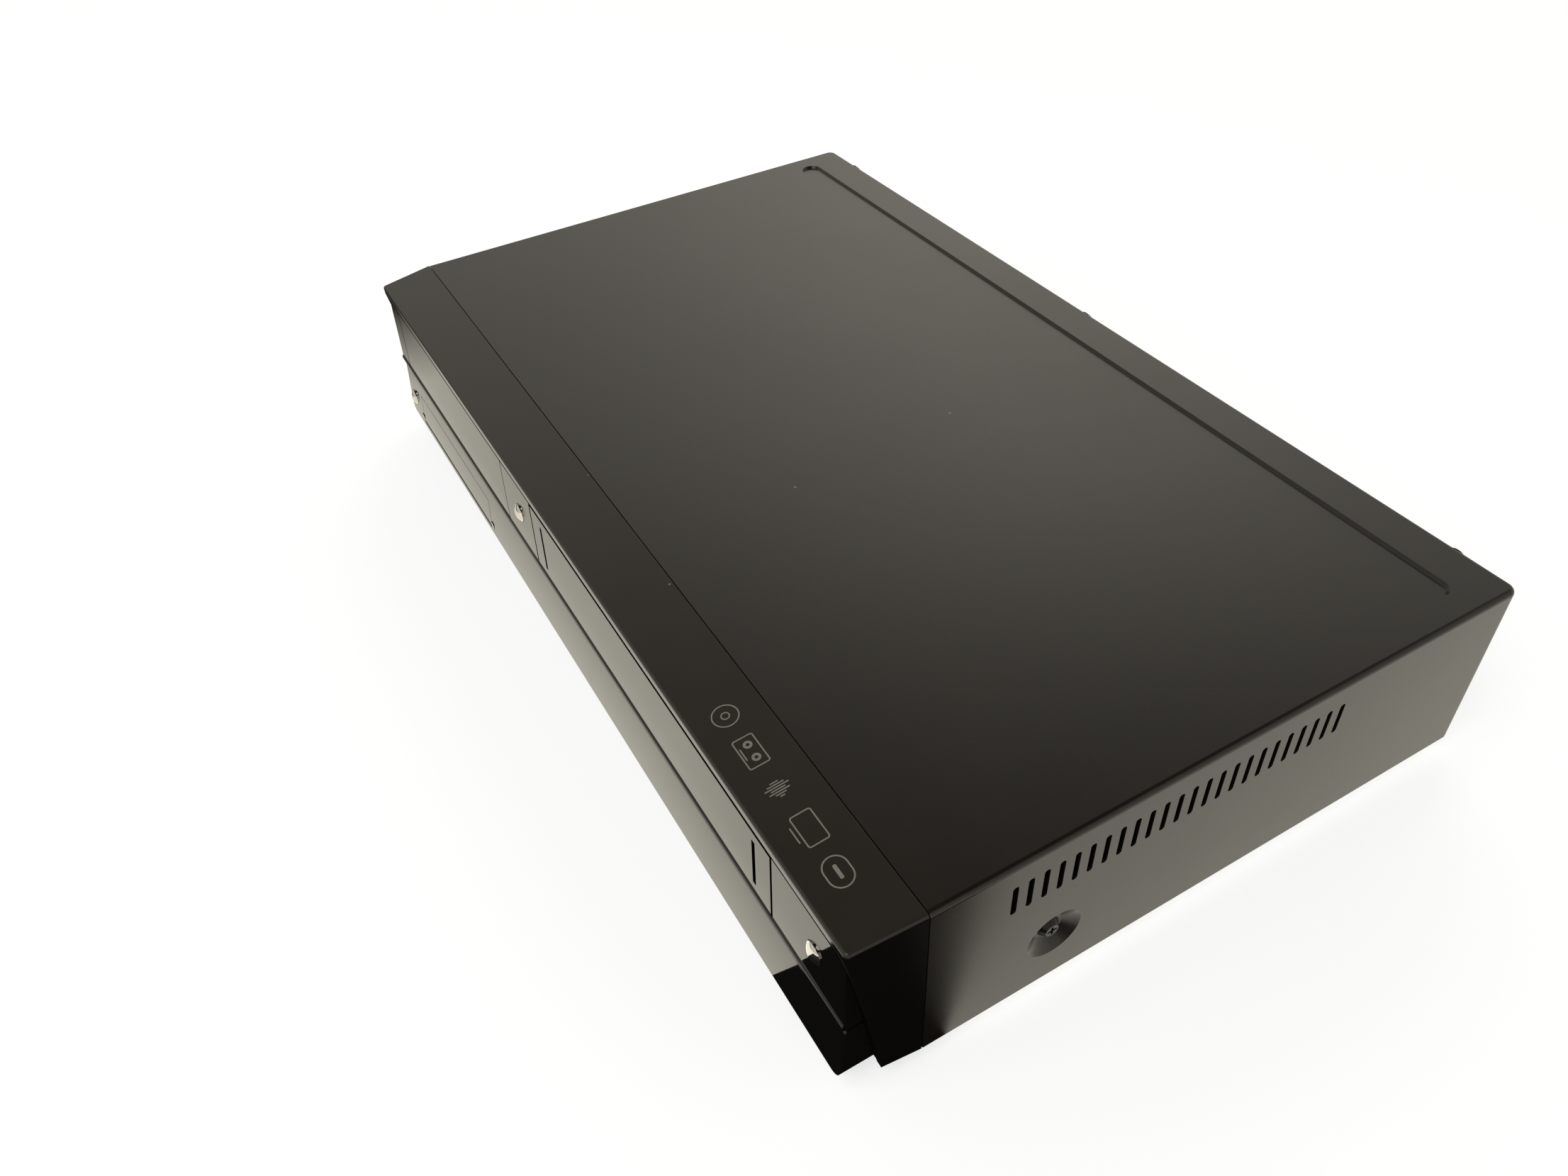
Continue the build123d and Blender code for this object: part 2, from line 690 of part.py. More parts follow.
# ---------------------------------------------------------------- doors of the front
tray_door_back_y = upper_face_y(door_foot_z) + 4.0
with BuildPart() as tray_door:
    with BuildSketch(Plane.YZ.offset(tray_door_left)):
        outline(
            (upper_face_y(door_top_z), door_top_z),
            (upper_face_y(door_foot_z), door_foot_z),
            (tray_door_back_y, door_foot_z),
            (tray_door_back_y, door_top_z),
        )
    extrude(amount=tray_door_right - tray_door_left)
    fillet(tray_door.faces().sort_by(Axis.Y)[0].edges(), 0.4)

with BuildPart() as cassette_door:
    with BuildSketch(Plane.YZ.offset(cassette_door_left)):
        outline(
            (upper_face_y(door_top_z), door_top_z),
            (upper_face_y(door_foot_z), door_foot_z),
            (upper_face_y(door_foot_z) + cassette_door_plate, door_foot_z),
            (upper_face_y(door_top_z) + cassette_door_plate, door_top_z),
        )
    extrude(amount=cassette_door_width)
    fillet(cassette_door.edges().filter_by(Axis.X).group_by(Axis.Z)[-1], cassette_door_plate / 2 - 0.1)
    # Two upright slots near the ends.
    slot_face_y = upper_face_y(below(door_slot_drop))
    with BuildSketch(facing_front(slot_face_y + 1.4)):
        with Locations((deck_x, below(door_slot_drop))):
            with GridLocations(cassette_door_width - 2 * door_slot_inset, 1, 2, 1):
                SlotOverall(door_slot_length, door_slot_width, rotation=90)
    extrude(amount=3.0, mode=Mode.SUBTRACT)
    # Hinge pins at both ends, on the door's upper edge.
    with BuildSketch(Plane.YZ.offset(cassette_door_left - door_gap_side - ear_width)):
        with Locations((door_axis_y, door_axis_z)):
            Circle(hinge_pin_radius)
    extrude(amount=cassette_door_width + 2 * (door_gap_side + ear_width))

with BuildPart() as door_spring:
    # The closing spring's coil sits on the ear's stud, with one leg down and one forward to the panel.
    spring_x = cassette_door_left - door_gap_side - ear_width - clearance
    with BuildSketch(Plane.YZ.offset(spring_x)):
        with Locations((spring_y, spring_z)):
            Circle(spring_bore + spring_wire)
            Circle(spring_bore, mode=Mode.SUBTRACT)
    extrude(amount=-3.2)
    with BuildSketch(Plane.YZ.offset(spring_x - 3.2)):
        with Locations((spring_y + spring_bore + spring_wire / 2, spring_z)):
            Rectangle(spring_wire, 12.0, align=(Align.CENTER, Align.MAX))
    extrude(amount=spring_wire)

with BuildPart() as jack_door:
    with BuildSketch(Plane.YZ.offset(jack_door_left)):
        outline(
            (lower_face_y(jack_door_top_z), jack_door_top_z),
            (lower_face_y(jack_door_foot_z), jack_door_foot_z),
            (lower_face_y(jack_door_foot_z) + jack_door_plate, jack_door_foot_z),
            (lower_face_y(jack_door_top_z) + jack_door_plate, jack_door_top_z),
        )
    extrude(amount=jack_door_width)
    fillet(jack_door.edges().filter_by(Axis.X).group_by(Axis.Z)[0], jack_door_plate / 2 - 0.1)
    with BuildSketch(Plane.YZ.offset(jack_door_left - door_gap_foot - ear_width)):
        with Locations((jack_axis_y, jack_axis_z)):
            Circle(jack_pin_radius)
    extrude(amount=jack_door_width + 2 * (door_gap_foot + ear_width))


def button_profile(dome, radius, plate, reach):
    """Half section of a button: domed cap, retaining flange behind the plate and stem."""
    with BuildLine() as half_section:
        crown = ThreePointArc((0, -dome), (radius * 0.6, -dome * 0.72), (radius, -0.3))
        Polyline(
            crown @ 1,
            (radius, plate + clearance),
            (radius + 1.0, plate + clearance),
            (radius + 1.0, plate + 1.0 + clearance),
            (1.6, plate + 1.0 + clearance),
            (1.6, reach),
            (0, reach),
            crown @ 0,
        )
    return half_section.line


switch_front_y = behind(9.0)
stem_gap = 0.1


def push_button(x, z, face_y, plate):
    """A sprung button whose cap slides in its bore, with its stem just short of the switch."""
    reach = switch_front_y - button_travel - stem_gap - face_y
    middle = Plane(origin=(x, face_y, z), x_dir=(1, 0, 0), z_dir=(0, 0, 1))
    with BuildPart() as button:
        with BuildSketch(middle):
            with BuildLine():
                add(button_profile(button_dome, button_radius, plate, reach))
            make_face()
        revolve(axis=Axis((x, face_y, z), (0, 1, 0)))
    return button


upper_plate = plate_back_y - upper_face_y(upper_button_z)
lower_plate = lower_plate_y - lower_face_y(power_button_z)
power_button = push_button(power_button_x, power_button_z, lower_face_y(power_button_z), lower_plate)
disc_button = push_button(disc_button_x, upper_button_z, upper_face_y(upper_button_z), upper_plate)
tape_button = push_button(tape_button_x, upper_button_z, upper_face_y(upper_button_z), upper_plate)

# Small boards behind the front wall, each with a push switch that reaches through it.
with BuildPart() as switch_boards:
    with BuildSketch(facing_front(front_wall_back_y + board)):
        with Locations((disc_button_x, upper_button_z), (tape_button_x, upper_button_z)):
            Rectangle(13.0, 18.0)
        with Locations((power_button_x + 1, power_button_z)):
            Rectangle(13.0, 12.0)
    extrude(amount=board)
    with BuildSketch(facing_front(front_wall_back_y)):
        with Locations(*button_places.values()):
            Rectangle(6.0, 6.0)
    extrude(amount=front_wall_back_y - switch_front_y - 0.8)
    with BuildSketch(facing_front(front_wall_back_y)):
        with Locations(*button_places.values()):
            Circle(1.7)
    extrude(amount=front_wall_back_y - switch_front_y)

# ---------------------------------------------------------------- disc loader
frame_wall = 2.0
frame_front_y = behind(17.0)
frame_back_y = behind(178.0)
frame_top_z = 60.0
loader_floor_z = loader_z + frame_wall
ledge_half = tray_width / 2 + 0.6
tray_front_y = tray_door_back_y
tray_back_y = tray_front_y + tray_length
disc_y = tray_front_y + disc_back
tray_top_z = tray_height + tray_plate
pinion_radius = rack_module * pinion_teeth / 2
rack_x = tray_x + tray_width / 2 - 7.0
pinion_x = rack_x - pinion_radius
pinion_y = behind(30.0)
motor_x = rack_x - 3.0
motor_y = behind(57.0)
motor_radius = 9.0
stud_radius = 1.5
traverse_half = 40.0
traverse_front_y = disc_y - 17
traverse_back_y = disc_y + 82
traverse_axis_y = disc_y + 78
traverse_z = 38.0
traverse_axis_z = traverse_z + 1.0
lug_width = 4.0

with BuildPart() as loader_frame:
    with BuildSketch(Plane.XY.offset(loader_z)):
        with Locations((tray_x, (frame_front_y + frame_back_y) / 2)):
            Rectangle(2 * frame_half, frame_back_y - frame_front_y)
    extrude(amount=frame_top_z - loader_z)
    fillet(loader_frame.edges().filter_by(Axis.Z), 3.0)
    with BuildSketch(Plane.XY.offset(loader_floor_z)):
        with Locations((tray_x, (frame_front_y + frame_back_y) / 2)):
            Rectangle(2 * (frame_half - frame_wall), frame_back_y - frame_front_y - 2 * frame_wall)
    extrude(amount=frame_top_z, mode=Mode.SUBTRACT)
    # The tray passes over the low front wall.
    with BuildSketch(facing_front(frame_front_y + frame_wall + 3)):
        with Locations((tray_x, frame_top_z)):
            Rectangle(2 * (frame_half - frame_wall), frame_top_z - 42, align=(Align.CENTER, Align.MAX))
    extrude(amount=frame_wall + 5, mode=Mode.SUBTRACT)
    # Ledges along the side walls guide the tray.
    with BuildSketch(Plane.XY.offset(tray_height - 2.3)):
        ledge_offset = (frame_half - frame_wall + ledge_half) / 2
        for side in (-1, 1):
            with Locations((tray_x + side * ledge_offset, (frame_front_y + frame_back_y) / 2)):
                Rectangle(frame_half - frame_wall - ledge_half, frame_back_y - frame_front_y - 3)
    extrude(amount=2.0)
    # Floor opening for the traverse deck, and the motor's seat.
    with BuildSketch(Plane.XY.offset(loader_z)):
        with Locations((tray_x, (traverse_front_y + traverse_back_y) / 2)):
            Rectangle(2 * traverse_half + 2, traverse_back_y - traverse_front_y + 4)
        with Locations((motor_x, motor_y)):
            Circle(3.0)
    extrude(amount=frame_wall, mode=Mode.SUBTRACT)
    # Lugs for the traverse deck's pivot pins.
    for side in (-1, 1):
        with BuildSketch(Plane.YZ.offset(tray_x + side * (traverse_half + 1))):
            with Locations((traverse_axis_y, loader_z)):
                Rectangle(8, traverse_axis_z + 3 - loader_z, align=(Align.CENTER, Align.MIN))
        extrude(amount=side * lug_width)
        with BuildSketch(Plane.YZ.offset(tray_x + side * (traverse_half + 1))):
            with Locations((traverse_axis_y, traverse_axis_z)):
                Circle(stud_radius + running_fit)
        extrude(amount=side * lug_width, mode=Mode.SUBTRACT)
    # Stud for the pinion.
    with BuildSketch(Plane.XY.offset(loader_floor_z)):
        with Locations((pinion_x, pinion_y)):
            Circle(4.0)
    extrude(amount=1.6)
    with BuildSketch(Plane.XY.offset(loader_floor_z)):
        with Locations((pinion_x, pinion_y)):
            Circle(stud_radius)
    extrude(amount=tray_height - 1.0 - loader_floor_z)

rack_z = tray_height - 4.0
rack_pitch = math.pi * rack_module
tooth_height = 1.9
tooth_root = 0.5 * rack_pitch
tooth_tip = 0.16 * rack_pitch
rack_first_y = pinion_y - rack_pitch / 2
rack_teeth = int((tray_back_y - 4 - rack_first_y) // rack_pitch) + 1

with BuildPart() as disc_tray:
    with BuildSketch(Plane.XY.offset(tray_height)):
        with Locations((tray_x, (tray_front_y + tray_back_y) / 2)):
            RectangleRounded(tray_width, tray_length, 4.0)
        with Locations((tray_x, tray_front_y + 4)):
            Rectangle(tray_width, 8)
    extrude(amount=tray_plate)
    fillet(disc_tray.faces().sort_by(Axis.Z)[-1].edges().filter_by(Axis.Y), 0.8)
    # Disc pocket with a lower ring for small discs.
    with BuildSketch(Plane.XY.offset(tray_top_z)):
        with Locations((tray_x, disc_y)):
            Circle(disc_radius + 1.0)
    extrude(amount=-2.0, taper=20, mode=Mode.SUBTRACT)
    with BuildSketch(Plane.XY.offset(tray_top_z - 2.0)):
        with Locations((tray_x, disc_y)):
            Circle(40.6)
    extrude(amount=-1.4, mode=Mode.SUBTRACT)
    # Opening for the turntable and the pickup, open to the rear.
    with BuildSketch(Plane.XY.offset(tray_height)):
        with Locations((tray_x, disc_y)):
            Circle(20.0)
        with Locations((tray_x, disc_y)):
            Rectangle(40.0, tray_length, align=(Align.CENTER, Align.MIN))
    extrude(amount=tray_plate, mode=Mode.SUBTRACT)
    # Finger notches at both sides of the pocket.
    with BuildSketch(Plane.XY.offset(tray_height)):
        for side in (-1, 1):
            with Locations((tray_x + side * (disc_radius + 3), disc_y)):
                SlotOverall(26, 12, rotation=90)
    extrude(amount=tray_plate, mode=Mode.SUBTRACT)
    # Side runners, front cross bar behind the door, and the rack under the right side.
    with BuildSketch(Plane.XY.offset(tray_height)):
        for side in (-1, 1):
            with Locations((tray_x + side * (tray_width / 2 + 1.6), (tray_front_y + tray_back_y) / 2 + 6)):
                Rectangle(3.2, tray_length - 16)
    extrude(amount=1.8)
    with BuildSketch(Plane.XY.offset(tray_height - 3.0)):
        with Locations((tray_x, tray_front_y)):
            Rectangle(tray_width - 8, 2.4, align=(Align.CENTER, Align.MIN))
    extrude(amount=tray_plate + 6.0)
    with BuildSketch(Plane.XY.offset(rack_z)):
        with Locations((rack_x + tooth_height / 2, tray_front_y + 6)):
            Rectangle(2.6, tray_length - 8, align=(Align.MIN, Align.MIN))
        for number in range(rack_teeth):
            tooth_y = rack_first_y + number * rack_pitch
            outline(
                (rack_x + tooth_height / 2, tooth_y - tooth_root / 2),
                (rack_x + tooth_height / 2, tooth_y + tooth_root / 2),
                (rack_x - tooth_height / 2, tooth_y + tooth_tip / 2),
                (rack_x - tooth_height / 2, tooth_y - tooth_tip / 2),
            )
    extrude(amount=tray_height - rack_z)

pulley_radius = 9.0
belt_z = loader_floor_z + 2.4
pulley_height = 2.6

with BuildPart() as tray_gear:
    with BuildSketch(Plane.XY.offset(loader_floor_z + 1.8)):
        with Locations((pinion_x, pinion_y)):
            Circle(pulley_radius)
    extrude(amount=pulley_height)
    with BuildSketch(Plane.XY.offset(loader_floor_z + 1.8)):
        with Locations((pinion_x, pinion_y)):
            Circle(6.0)
    extrude(amount=rack_z - 0.3 - loader_floor_z - 1.8)
    pinion_plane = Plane(origin=(pinion_x, pinion_y, rack_z - 0.3))
    with BuildSketch(pinion_plane):
        Circle(pinion_radius - tooth_height / 2 - 0.3)
        with PolarLocations(0, pinion_teeth):
            outline(
                (pinion_radius - tooth_height / 2 - 0.8, -tooth_root / 2),
                (pinion_radius - tooth_height / 2 - 0.8, tooth_root / 2),
                (pinion_radius + tooth_height / 2 - 0.2, tooth_tip / 2),
                (pinion_radius + tooth_height / 2 - 0.2, -tooth_tip / 2),
            )
    extrude(amount=3.6)
    with Locations((pinion_x, pinion_y, loader_floor_z)):
        Cylinder(stud_radius + running_fit, 60, mode=Mode.SUBTRACT)

with BuildPart() as tray_motor:
    with BuildSketch(Plane.XY.offset(loader_z)):
        with Locations((motor_x, motor_y)):
            Circle(motor_radius)
    extrude(amount=-15.0)
    fillet(tray_motor.edges().filter_by(GeomType.CIRCLE).group_by(Axis.Z)[0], 1.0)
    with BuildSketch(Plane.XY.offset(loader_z)):
        with Locations((motor_x, motor_y)):
            Circle(2.6)
    extrude(amount=1.0)

with BuildPart() as motor_pulley:
    with BuildSketch(Plane.XY.offset(loader_z + 1.0 + clearance)):
        with Locations((motor_x, motor_y)):
            Circle(1.0)
    extrude(amount=3.0)
    with BuildSketch(Plane.XY.offset(loader_floor_z + 1.8)):
        with Locations((motor_x, motor_y)):
            Circle(4.0)
    extrude(amount=pulley_height)

belt_radius = 0.6
with BuildPart() as tray_belt:
    # Square rubber belt round both pulleys, just clear of their rims.
    reach = math.hypot(motor_x - pinion_x, motor_y - pinion_y)
    belt_plane = Plane(origin=(pinion_x, pinion_y, belt_z), x_dir=(motor_x - pinion_x, motor_y - pinion_y, 0))
    with BuildSketch(belt_plane):
        with Locations((0, 0)):
            Circle(pulley_radius + clearance + 2 * belt_radius)
        with Locations((reach, 0)):
            Circle(4.0 + clearance + 2 * belt_radius)
        make_hull()
        with BuildSketch(mode=Mode.SUBTRACT):
            Circle(pulley_radius + clearance)
            with Locations((reach, 0)):
                Circle(4.0 + clearance)
            make_hull()
    extrude(amount=2 * belt_radius)

rail_radius = 1.5
rail_offset = 28.0
rail_z = traverse_z + 5.5
pickup_half = 24.0
pickup_length = 21.0
pickup_y = disc_y + 30.0
pickup_travel = 32.0
rail_front_y = disc_y + 14.0
rail_spare = 14.0  # behind the middle of the pickup at the end of its travel
rail_back_y = pickup_y + pickup_travel + rail_spare
rail_post = 4.0
turntable_z = tray_height + 1.0

with BuildPart() as traverse_deck:
    with BuildSketch(Plane.XY.offset(traverse_z)):
        with Locations((tray_x, (traverse_front_y + traverse_back_y) / 2)):
            RectangleRounded(2 * traverse_half, traverse_back_y - traverse_front_y, 4.0)
        with Locations((tray_x, disc_y + 55)):
            Rectangle(2 * pickup_half - 6, 36, mode=Mode.SUBTRACT)
        with Locations((tray_x, disc_y)):
            Circle(3.2, mode=Mode.SUBTRACT)
    extrude(amount=2.0)
    # Posts carry the ends of the two guide rails.
    with BuildSketch(Plane.XY.offset(traverse_z + 2.0)):
        for x in (tray_x - rail_offset, tray_x + rail_offset):
            for y in (rail_front_y, rail_back_y - rail_post):
                with Locations((x, y + rail_post / 2)):
                    Rectangle(6.0, rail_post)
    extrude(amount=rail_z + 1.6 - traverse_z)
    with BuildSketch(facing_front(rail_back_y)):
        with Locations((tray_x - rail_offset, rail_z), (tray_x + rail_offset, rail_z)):
            Circle(rail_radius)
    extrude(amount=rail_back_y - rail_front_y, mode=Mode.SUBTRACT)
    # Stiffening rib round the front edge, and the pivot pins at the back.
    with BuildSketch(Plane.XY.offset(traverse_z)):
        with Locations((tray_x, traverse_front_y + 2)):
            Rectangle(2 * traverse_half - 12, 1.6)
    extrude(amount=5.0)
    with BuildSketch(Plane.YZ.offset(tray_x - traverse_half - lug_width)):
        with Locations((traverse_axis_y, traverse_axis_z)):
            Circle(stud_radius)
    extrude(amount=2 * (traverse_half + lug_width))
    with BuildSketch(Plane.XY.offset(traverse_z + 2.0)):
        with Locations((tray_x, disc_y + 40)):
            Rectangle(2 * pickup_half - 6, 68)
    extrude(amount=3.0, mode=Mode.SUBTRACT)

with BuildPart() as pickup_rails:
    with BuildSketch(facing_front(rail_back_y)):
        with Locations((tray_x - rail_offset, rail_z), (tray_x + rail_offset, rail_z)):
            Circle(rail_radius)
    extrude(amount=rail_back_y - rail_front_y)

with BuildPart() as optical_pickup:
    with BuildSketch(Plane.XY.offset(rail_z - 2.6)):
        with Locations((tray_x, pickup_y)):
            Rectangle(2 * pickup_half, pickup_length)
    extrude(amount=6.0)
    fillet(optical_pickup.edges().filter_by(Axis.Z), 2.0)
    with BuildSketch(Plane.XY.offset(rail_z - 2.6)):
        for side in (-1, 1):
            with Locations((tray_x + side * (rail_offset - 1), pickup_y + side * 5)):
                Rectangle(8.0, 9.0)
    extrude(amount=5.2)
    with BuildSketch(facing_front(pickup_y + pickup_length)):
        with Locations((tray_x - rail_offset, rail_z), (tray_x + rail_offset, rail_z)):
            Circle(rail_radius + running_fit)
    extrude(amount=2 * pickup_length, mode=Mode.SUBTRACT)
    # Raised lens holder with a domed lens.
    with BuildSketch(Plane.XY.offset(rail_z + 3.4)):
        with Locations((tray_x, pickup_y)):
            RectangleRounded(16.0, 13.0, 2.0)
    extrude(amount=1.2)
    with BuildSketch(Plane.XY.offset(rail_z + 4.6)):
        with Locations((tray_x, pickup_y)):
            Circle(2.6)
    extrude(amount=0.8)
    fillet(optical_pickup.faces().sort_by(Axis.Z)[-1].edges(), 0.6)

with BuildPart() as spindle_motor:
    with BuildSketch(Plane.XY.offset(traverse_z)):
        with Locations((tray_x, disc_y)):
            Circle(11.0)
    extrude(amount=-4.5)
    with BuildSketch(Plane.XY.offset(traverse_z)):
        with Locations((tray_x, disc_y)):
            Circle(3.2)
    extrude(amount=5.0)
    with Locations((tray_x, disc_y, traverse_z + 2.0)):
        Cylinder(stud_radius + running_fit, 10, mode=Mode.SUBTRACT)

with BuildPart() as turntable:
    with BuildSketch(Plane.XY.offset(traverse_z - 2.0)):
        with Locations((tray_x, disc_y)):
            Circle(stud_radius)
    extrude(amount=turntable_z - traverse_z + 1.0)
    with BuildSketch(Plane.XY.offset(traverse_z + 5.3)):
        with Locations((tray_x, disc_y)):
            Circle(turntable_radius - 3)
    extrude(amount=turntable_z - traverse_z - 5.3)
    with BuildSketch(Plane.XY.offset(turntable_z)):
        with Locations((tray_x, disc_y)):
            Circle(turntable_radius)
    extrude(amount=2.0)
    with Locations((tray_x, disc_y, turntable_z + 2.0)):
        Cone(7.4, 5.0, 2.4, align=(Align.CENTER, Align.CENTER, Align.MIN))

bridge_sheet = 1.2
clamp_neck_radius = 9.0
with BuildPart() as clamp_bridge:
    with BuildSketch(Plane.XY.offset(frame_top_z)):
        with Locations((tray_x, disc_y)):
            Rectangle(2 * frame_half - 1, 26.0)
            Circle(clamp_neck_radius + 1.0, mode=Mode.SUBTRACT)
    extrude(amount=bridge_sheet)
    for side in (-1, 1):
        with BuildSketch(Plane.XY.offset(frame_top_z)):
            with Locations((tray_x, disc_y + side * 12.4)):
                Rectangle(2 * frame_half - 12, 1.2)
        extrude(amount=3.0)

with BuildPart() as disc_clamp:
    with BuildSketch(Plane.XY.offset(frame_top_z - 3.4)):
        with Locations((tray_x, disc_y)):
            Circle(15.0)
    extrude(amount=3.4 - clearance)
    with BuildSketch(Plane.XY.offset(frame_top_z - clearance)):
        with Locations((tray_x, disc_y)):
            Circle(clamp_neck_radius)
    extrude(amount=bridge_sheet + 2 * clearance)
    with BuildSketch(Plane.XY.offset(frame_top_z + bridge_sheet + clearance)):
        with Locations((tray_x, disc_y)):
            Circle(clamp_neck_radius + 2.4)
    extrude(amount=1.2)

# ---------------------------------------------------------------- tape deck
deck_front_y = behind(20.0)
deck_back_y = behind(212.0)
deck_foot_z = deck_height - deck_sheet
cage_floor_z = below(cage_floor_drop) - cage_sheet
cage_front_y = behind(40.0)
cage_half = cassette_width / 2 + 1.0 + cage_sheet
cage_top_z = cage_floor_z + cage_sheet + cassette_height + 1.0
slider_half = cage_half + clearance
rail_half = slider_half + cage_sheet + clearance
rail_foot = 6.0
deck_half = rail_half + rail_foot + 0.4
lift_pin_radius = 1.5
lift_pin_z = cage_floor_z + 14.5
slide_pin_z = cage_floor_z + 23.0
reel_y = behind(56.0)
drum_y = behind(172.0)
capstan_x = deck_x + 54.0
capstan_y = behind(138.0)
capstan_radius = 1.5
bearing_radius = 4.0
bearing_rise = 2.0  # the capstan's bearing stands this far above the deck
flywheel_radius = 25.0
flywheel_height = 5.0
pinch_pivot_x = deck_x + 86.0
pinch_pivot_y = behind(142.0)
pinch_radius = 5.4
pinch_reach = 25.3
pinch_open_angle = 161.0
roller_gap = 0.6  # under the pinch roller
roller_length = 12.2
arm_sheet = 2.0
guide_offset = 38.0
guide_y = behind(131.0)
guide_travel = 42.0
deck_leg_inset = 8.0
deck_leg_xs = (deck_x - deck_half + deck_leg_inset, deck_x + deck_half - deck_leg_inset)
deck_legs = [(x, y) for x in deck_leg_xs for y in (deck_front_y + 12.0, deck_back_y - deck_leg_inset)]
arm_z = deck_height + bearing_rise + roller_gap + roller_length + clearance
reel_places = [(deck_x - reel_spacing / 2, reel_y), (deck_x + reel_spacing / 2, reel_y)]

with BuildPart() as deck_plate:
    with BuildSketch(Plane.XY.offset(deck_foot_z)):
        with Locations((deck_x, (deck_front_y + deck_back_y) / 2)):
            RectangleRounded(2 * deck_half, deck_back_y - deck_front_y, 5.0)
        # Slots for the tape guides' pegs, and the capstan's hole.
        for side in (-1, 1):
            with Locations((deck_x + side * guide_offset, guide_y + guide_travel / 2)):
                SlotOverall(guide_travel + 6.0, 3.6, rotation=90, mode=Mode.SUBTRACT)
        with Locations((capstan_x, capstan_y)):
            Circle(bearing_radius + 0.2, mode=Mode.SUBTRACT)
        # Lightening hole between the reels.
        with Locations((deck_x, reel_y)):
            RectangleRounded(40, 50, 6, mode=Mode.SUBTRACT)
    extrude(amount=deck_sheet)
    with BuildSketch(Plane.XY.offset(floor_z)):
        with Locations(*deck_legs):
            Circle(3.0)
    extrude(amount=deck_foot_z - floor_z)
    # Studs for the reels and the pinch arm.
    with BuildSketch(Plane.XY.offset(deck_foot_z)):
        with Locations(*reel_places):
            Circle(stud_radius)
    extrude(amount=9.0)
    with BuildSketch(Plane.XY.offset(deck_foot_z)):
        with Locations((pinch_pivot_x, pinch_pivot_y)):
            Circle(stud_radius)
    extrude(amount=arm_z + arm_sheet + 1.5 - deck_foot_z)
    with BuildSketch(Plane.XY.offset(deck_height)):
        with Locations((pinch_pivot_x, pinch_pivot_y)):
            Circle(3.0)
    extrude(amount=arm_z - clearance - deck_height)
    # Fixed guide posts along the tape's way, riveted to the deck.
    fixed_posts = [(deck_x - 62, behind(132)), (deck_x - 52, behind(172)), (deck_x + 48, behind(182))]
    with BuildSketch(Plane.XY.offset(deck_height)):
        with Locations(*fixed_posts):
            Circle(4.0)
    extrude(amount=2.5)
    with BuildSketch(Plane.XY.offset(deck_height)):
        with Locations(*fixed_posts):
            Circle(2.2)
    extrude(amount=21.0)


def reel_table(place):
    """A reel table: toothed rim below, ribbed spindle above, on its stud."""
    plane = Plane(origin=(place[0], place[1], deck_height + clearance))
    with BuildPart() as reel:
        with BuildSketch(plane):
            Circle(15.0)
        extrude(amount=2.6)
        with BuildSketch(plane.offset(2.6)):
            Circle(11.0)
        extrude(amount=1.0)
        with BuildSketch(plane.offset(3.6)):
            Circle(4.0)
            with PolarLocations(4.2, 6):
                Rectangle(3.0, 1.4)
        extrude(amount=5.4, taper=3)
        with Locations(plane):
            Cylinder(stud_radius + running_fit, 40, mode=Mode.SUBTRACT)
    return reel


supply_reel = reel_table(reel_places[0])
takeup_reel = reel_table(reel_places[1])

drum_lean = math.radians(drum_tilt)
drum_plane = Plane(
    origin=(deck_x, drum_y, deck_height + 6.0),
    z_dir=(-math.sin(drum_lean), 0, math.cos(drum_lean)),
)
lower_drum_height = 11.0
upper_drum_height = 17.0
drum_shaft_radius = 3.0
with BuildPart() as drum_base:
    with BuildSketch(drum_plane):
        Circle(drum_radius - 0.1)
    extrude(amount=lower_drum_height)
    with BuildSketch(Plane.XY.offset(deck_height)):
        with Locations((deck_x, drum_y)):
            Circle(24.0)
    extrude(amount=9.0)
    with BuildSketch(Plane.XY.offset(deck_height)):
        with Locations((deck_x, drum_y)):
            with PolarLocations(29.0, 3, start_angle=90):
                SlotOverall(18, 8)
    extrude(amount=2.5)
    with Locations(drum_plane.offset(4.0)):
        Cylinder(
            drum_shaft_radius + running_fit,
            20,
            align=(Align.CENTER, Align.CENTER, Align.MIN),
            mode=Mode.SUBTRACT,
        )

with BuildPart() as head_drum:
    with BuildSketch(drum_plane.offset(lower_drum_height + clearance)):
        Circle(drum_radius)
    extrude(amount=upper_drum_height)
    drum_rim = head_drum.faces().sort_by(Axis.Z)[-1].edges()
    fillet(drum_rim, 0.8)
    with BuildSketch(drum_plane.offset(5.0)):
        Circle(drum_shaft_radius)
    extrude(amount=lower_drum_height + 1.0)
    # Recessed top with a raised hub.
    with BuildSketch(drum_plane.offset(lower_drum_height + clearance + upper_drum_height)):
        Circle(drum_radius - 5)
        Circle(10.0, mode=Mode.SUBTRACT)
    extrude(amount=-5.0, mode=Mode.SUBTRACT)

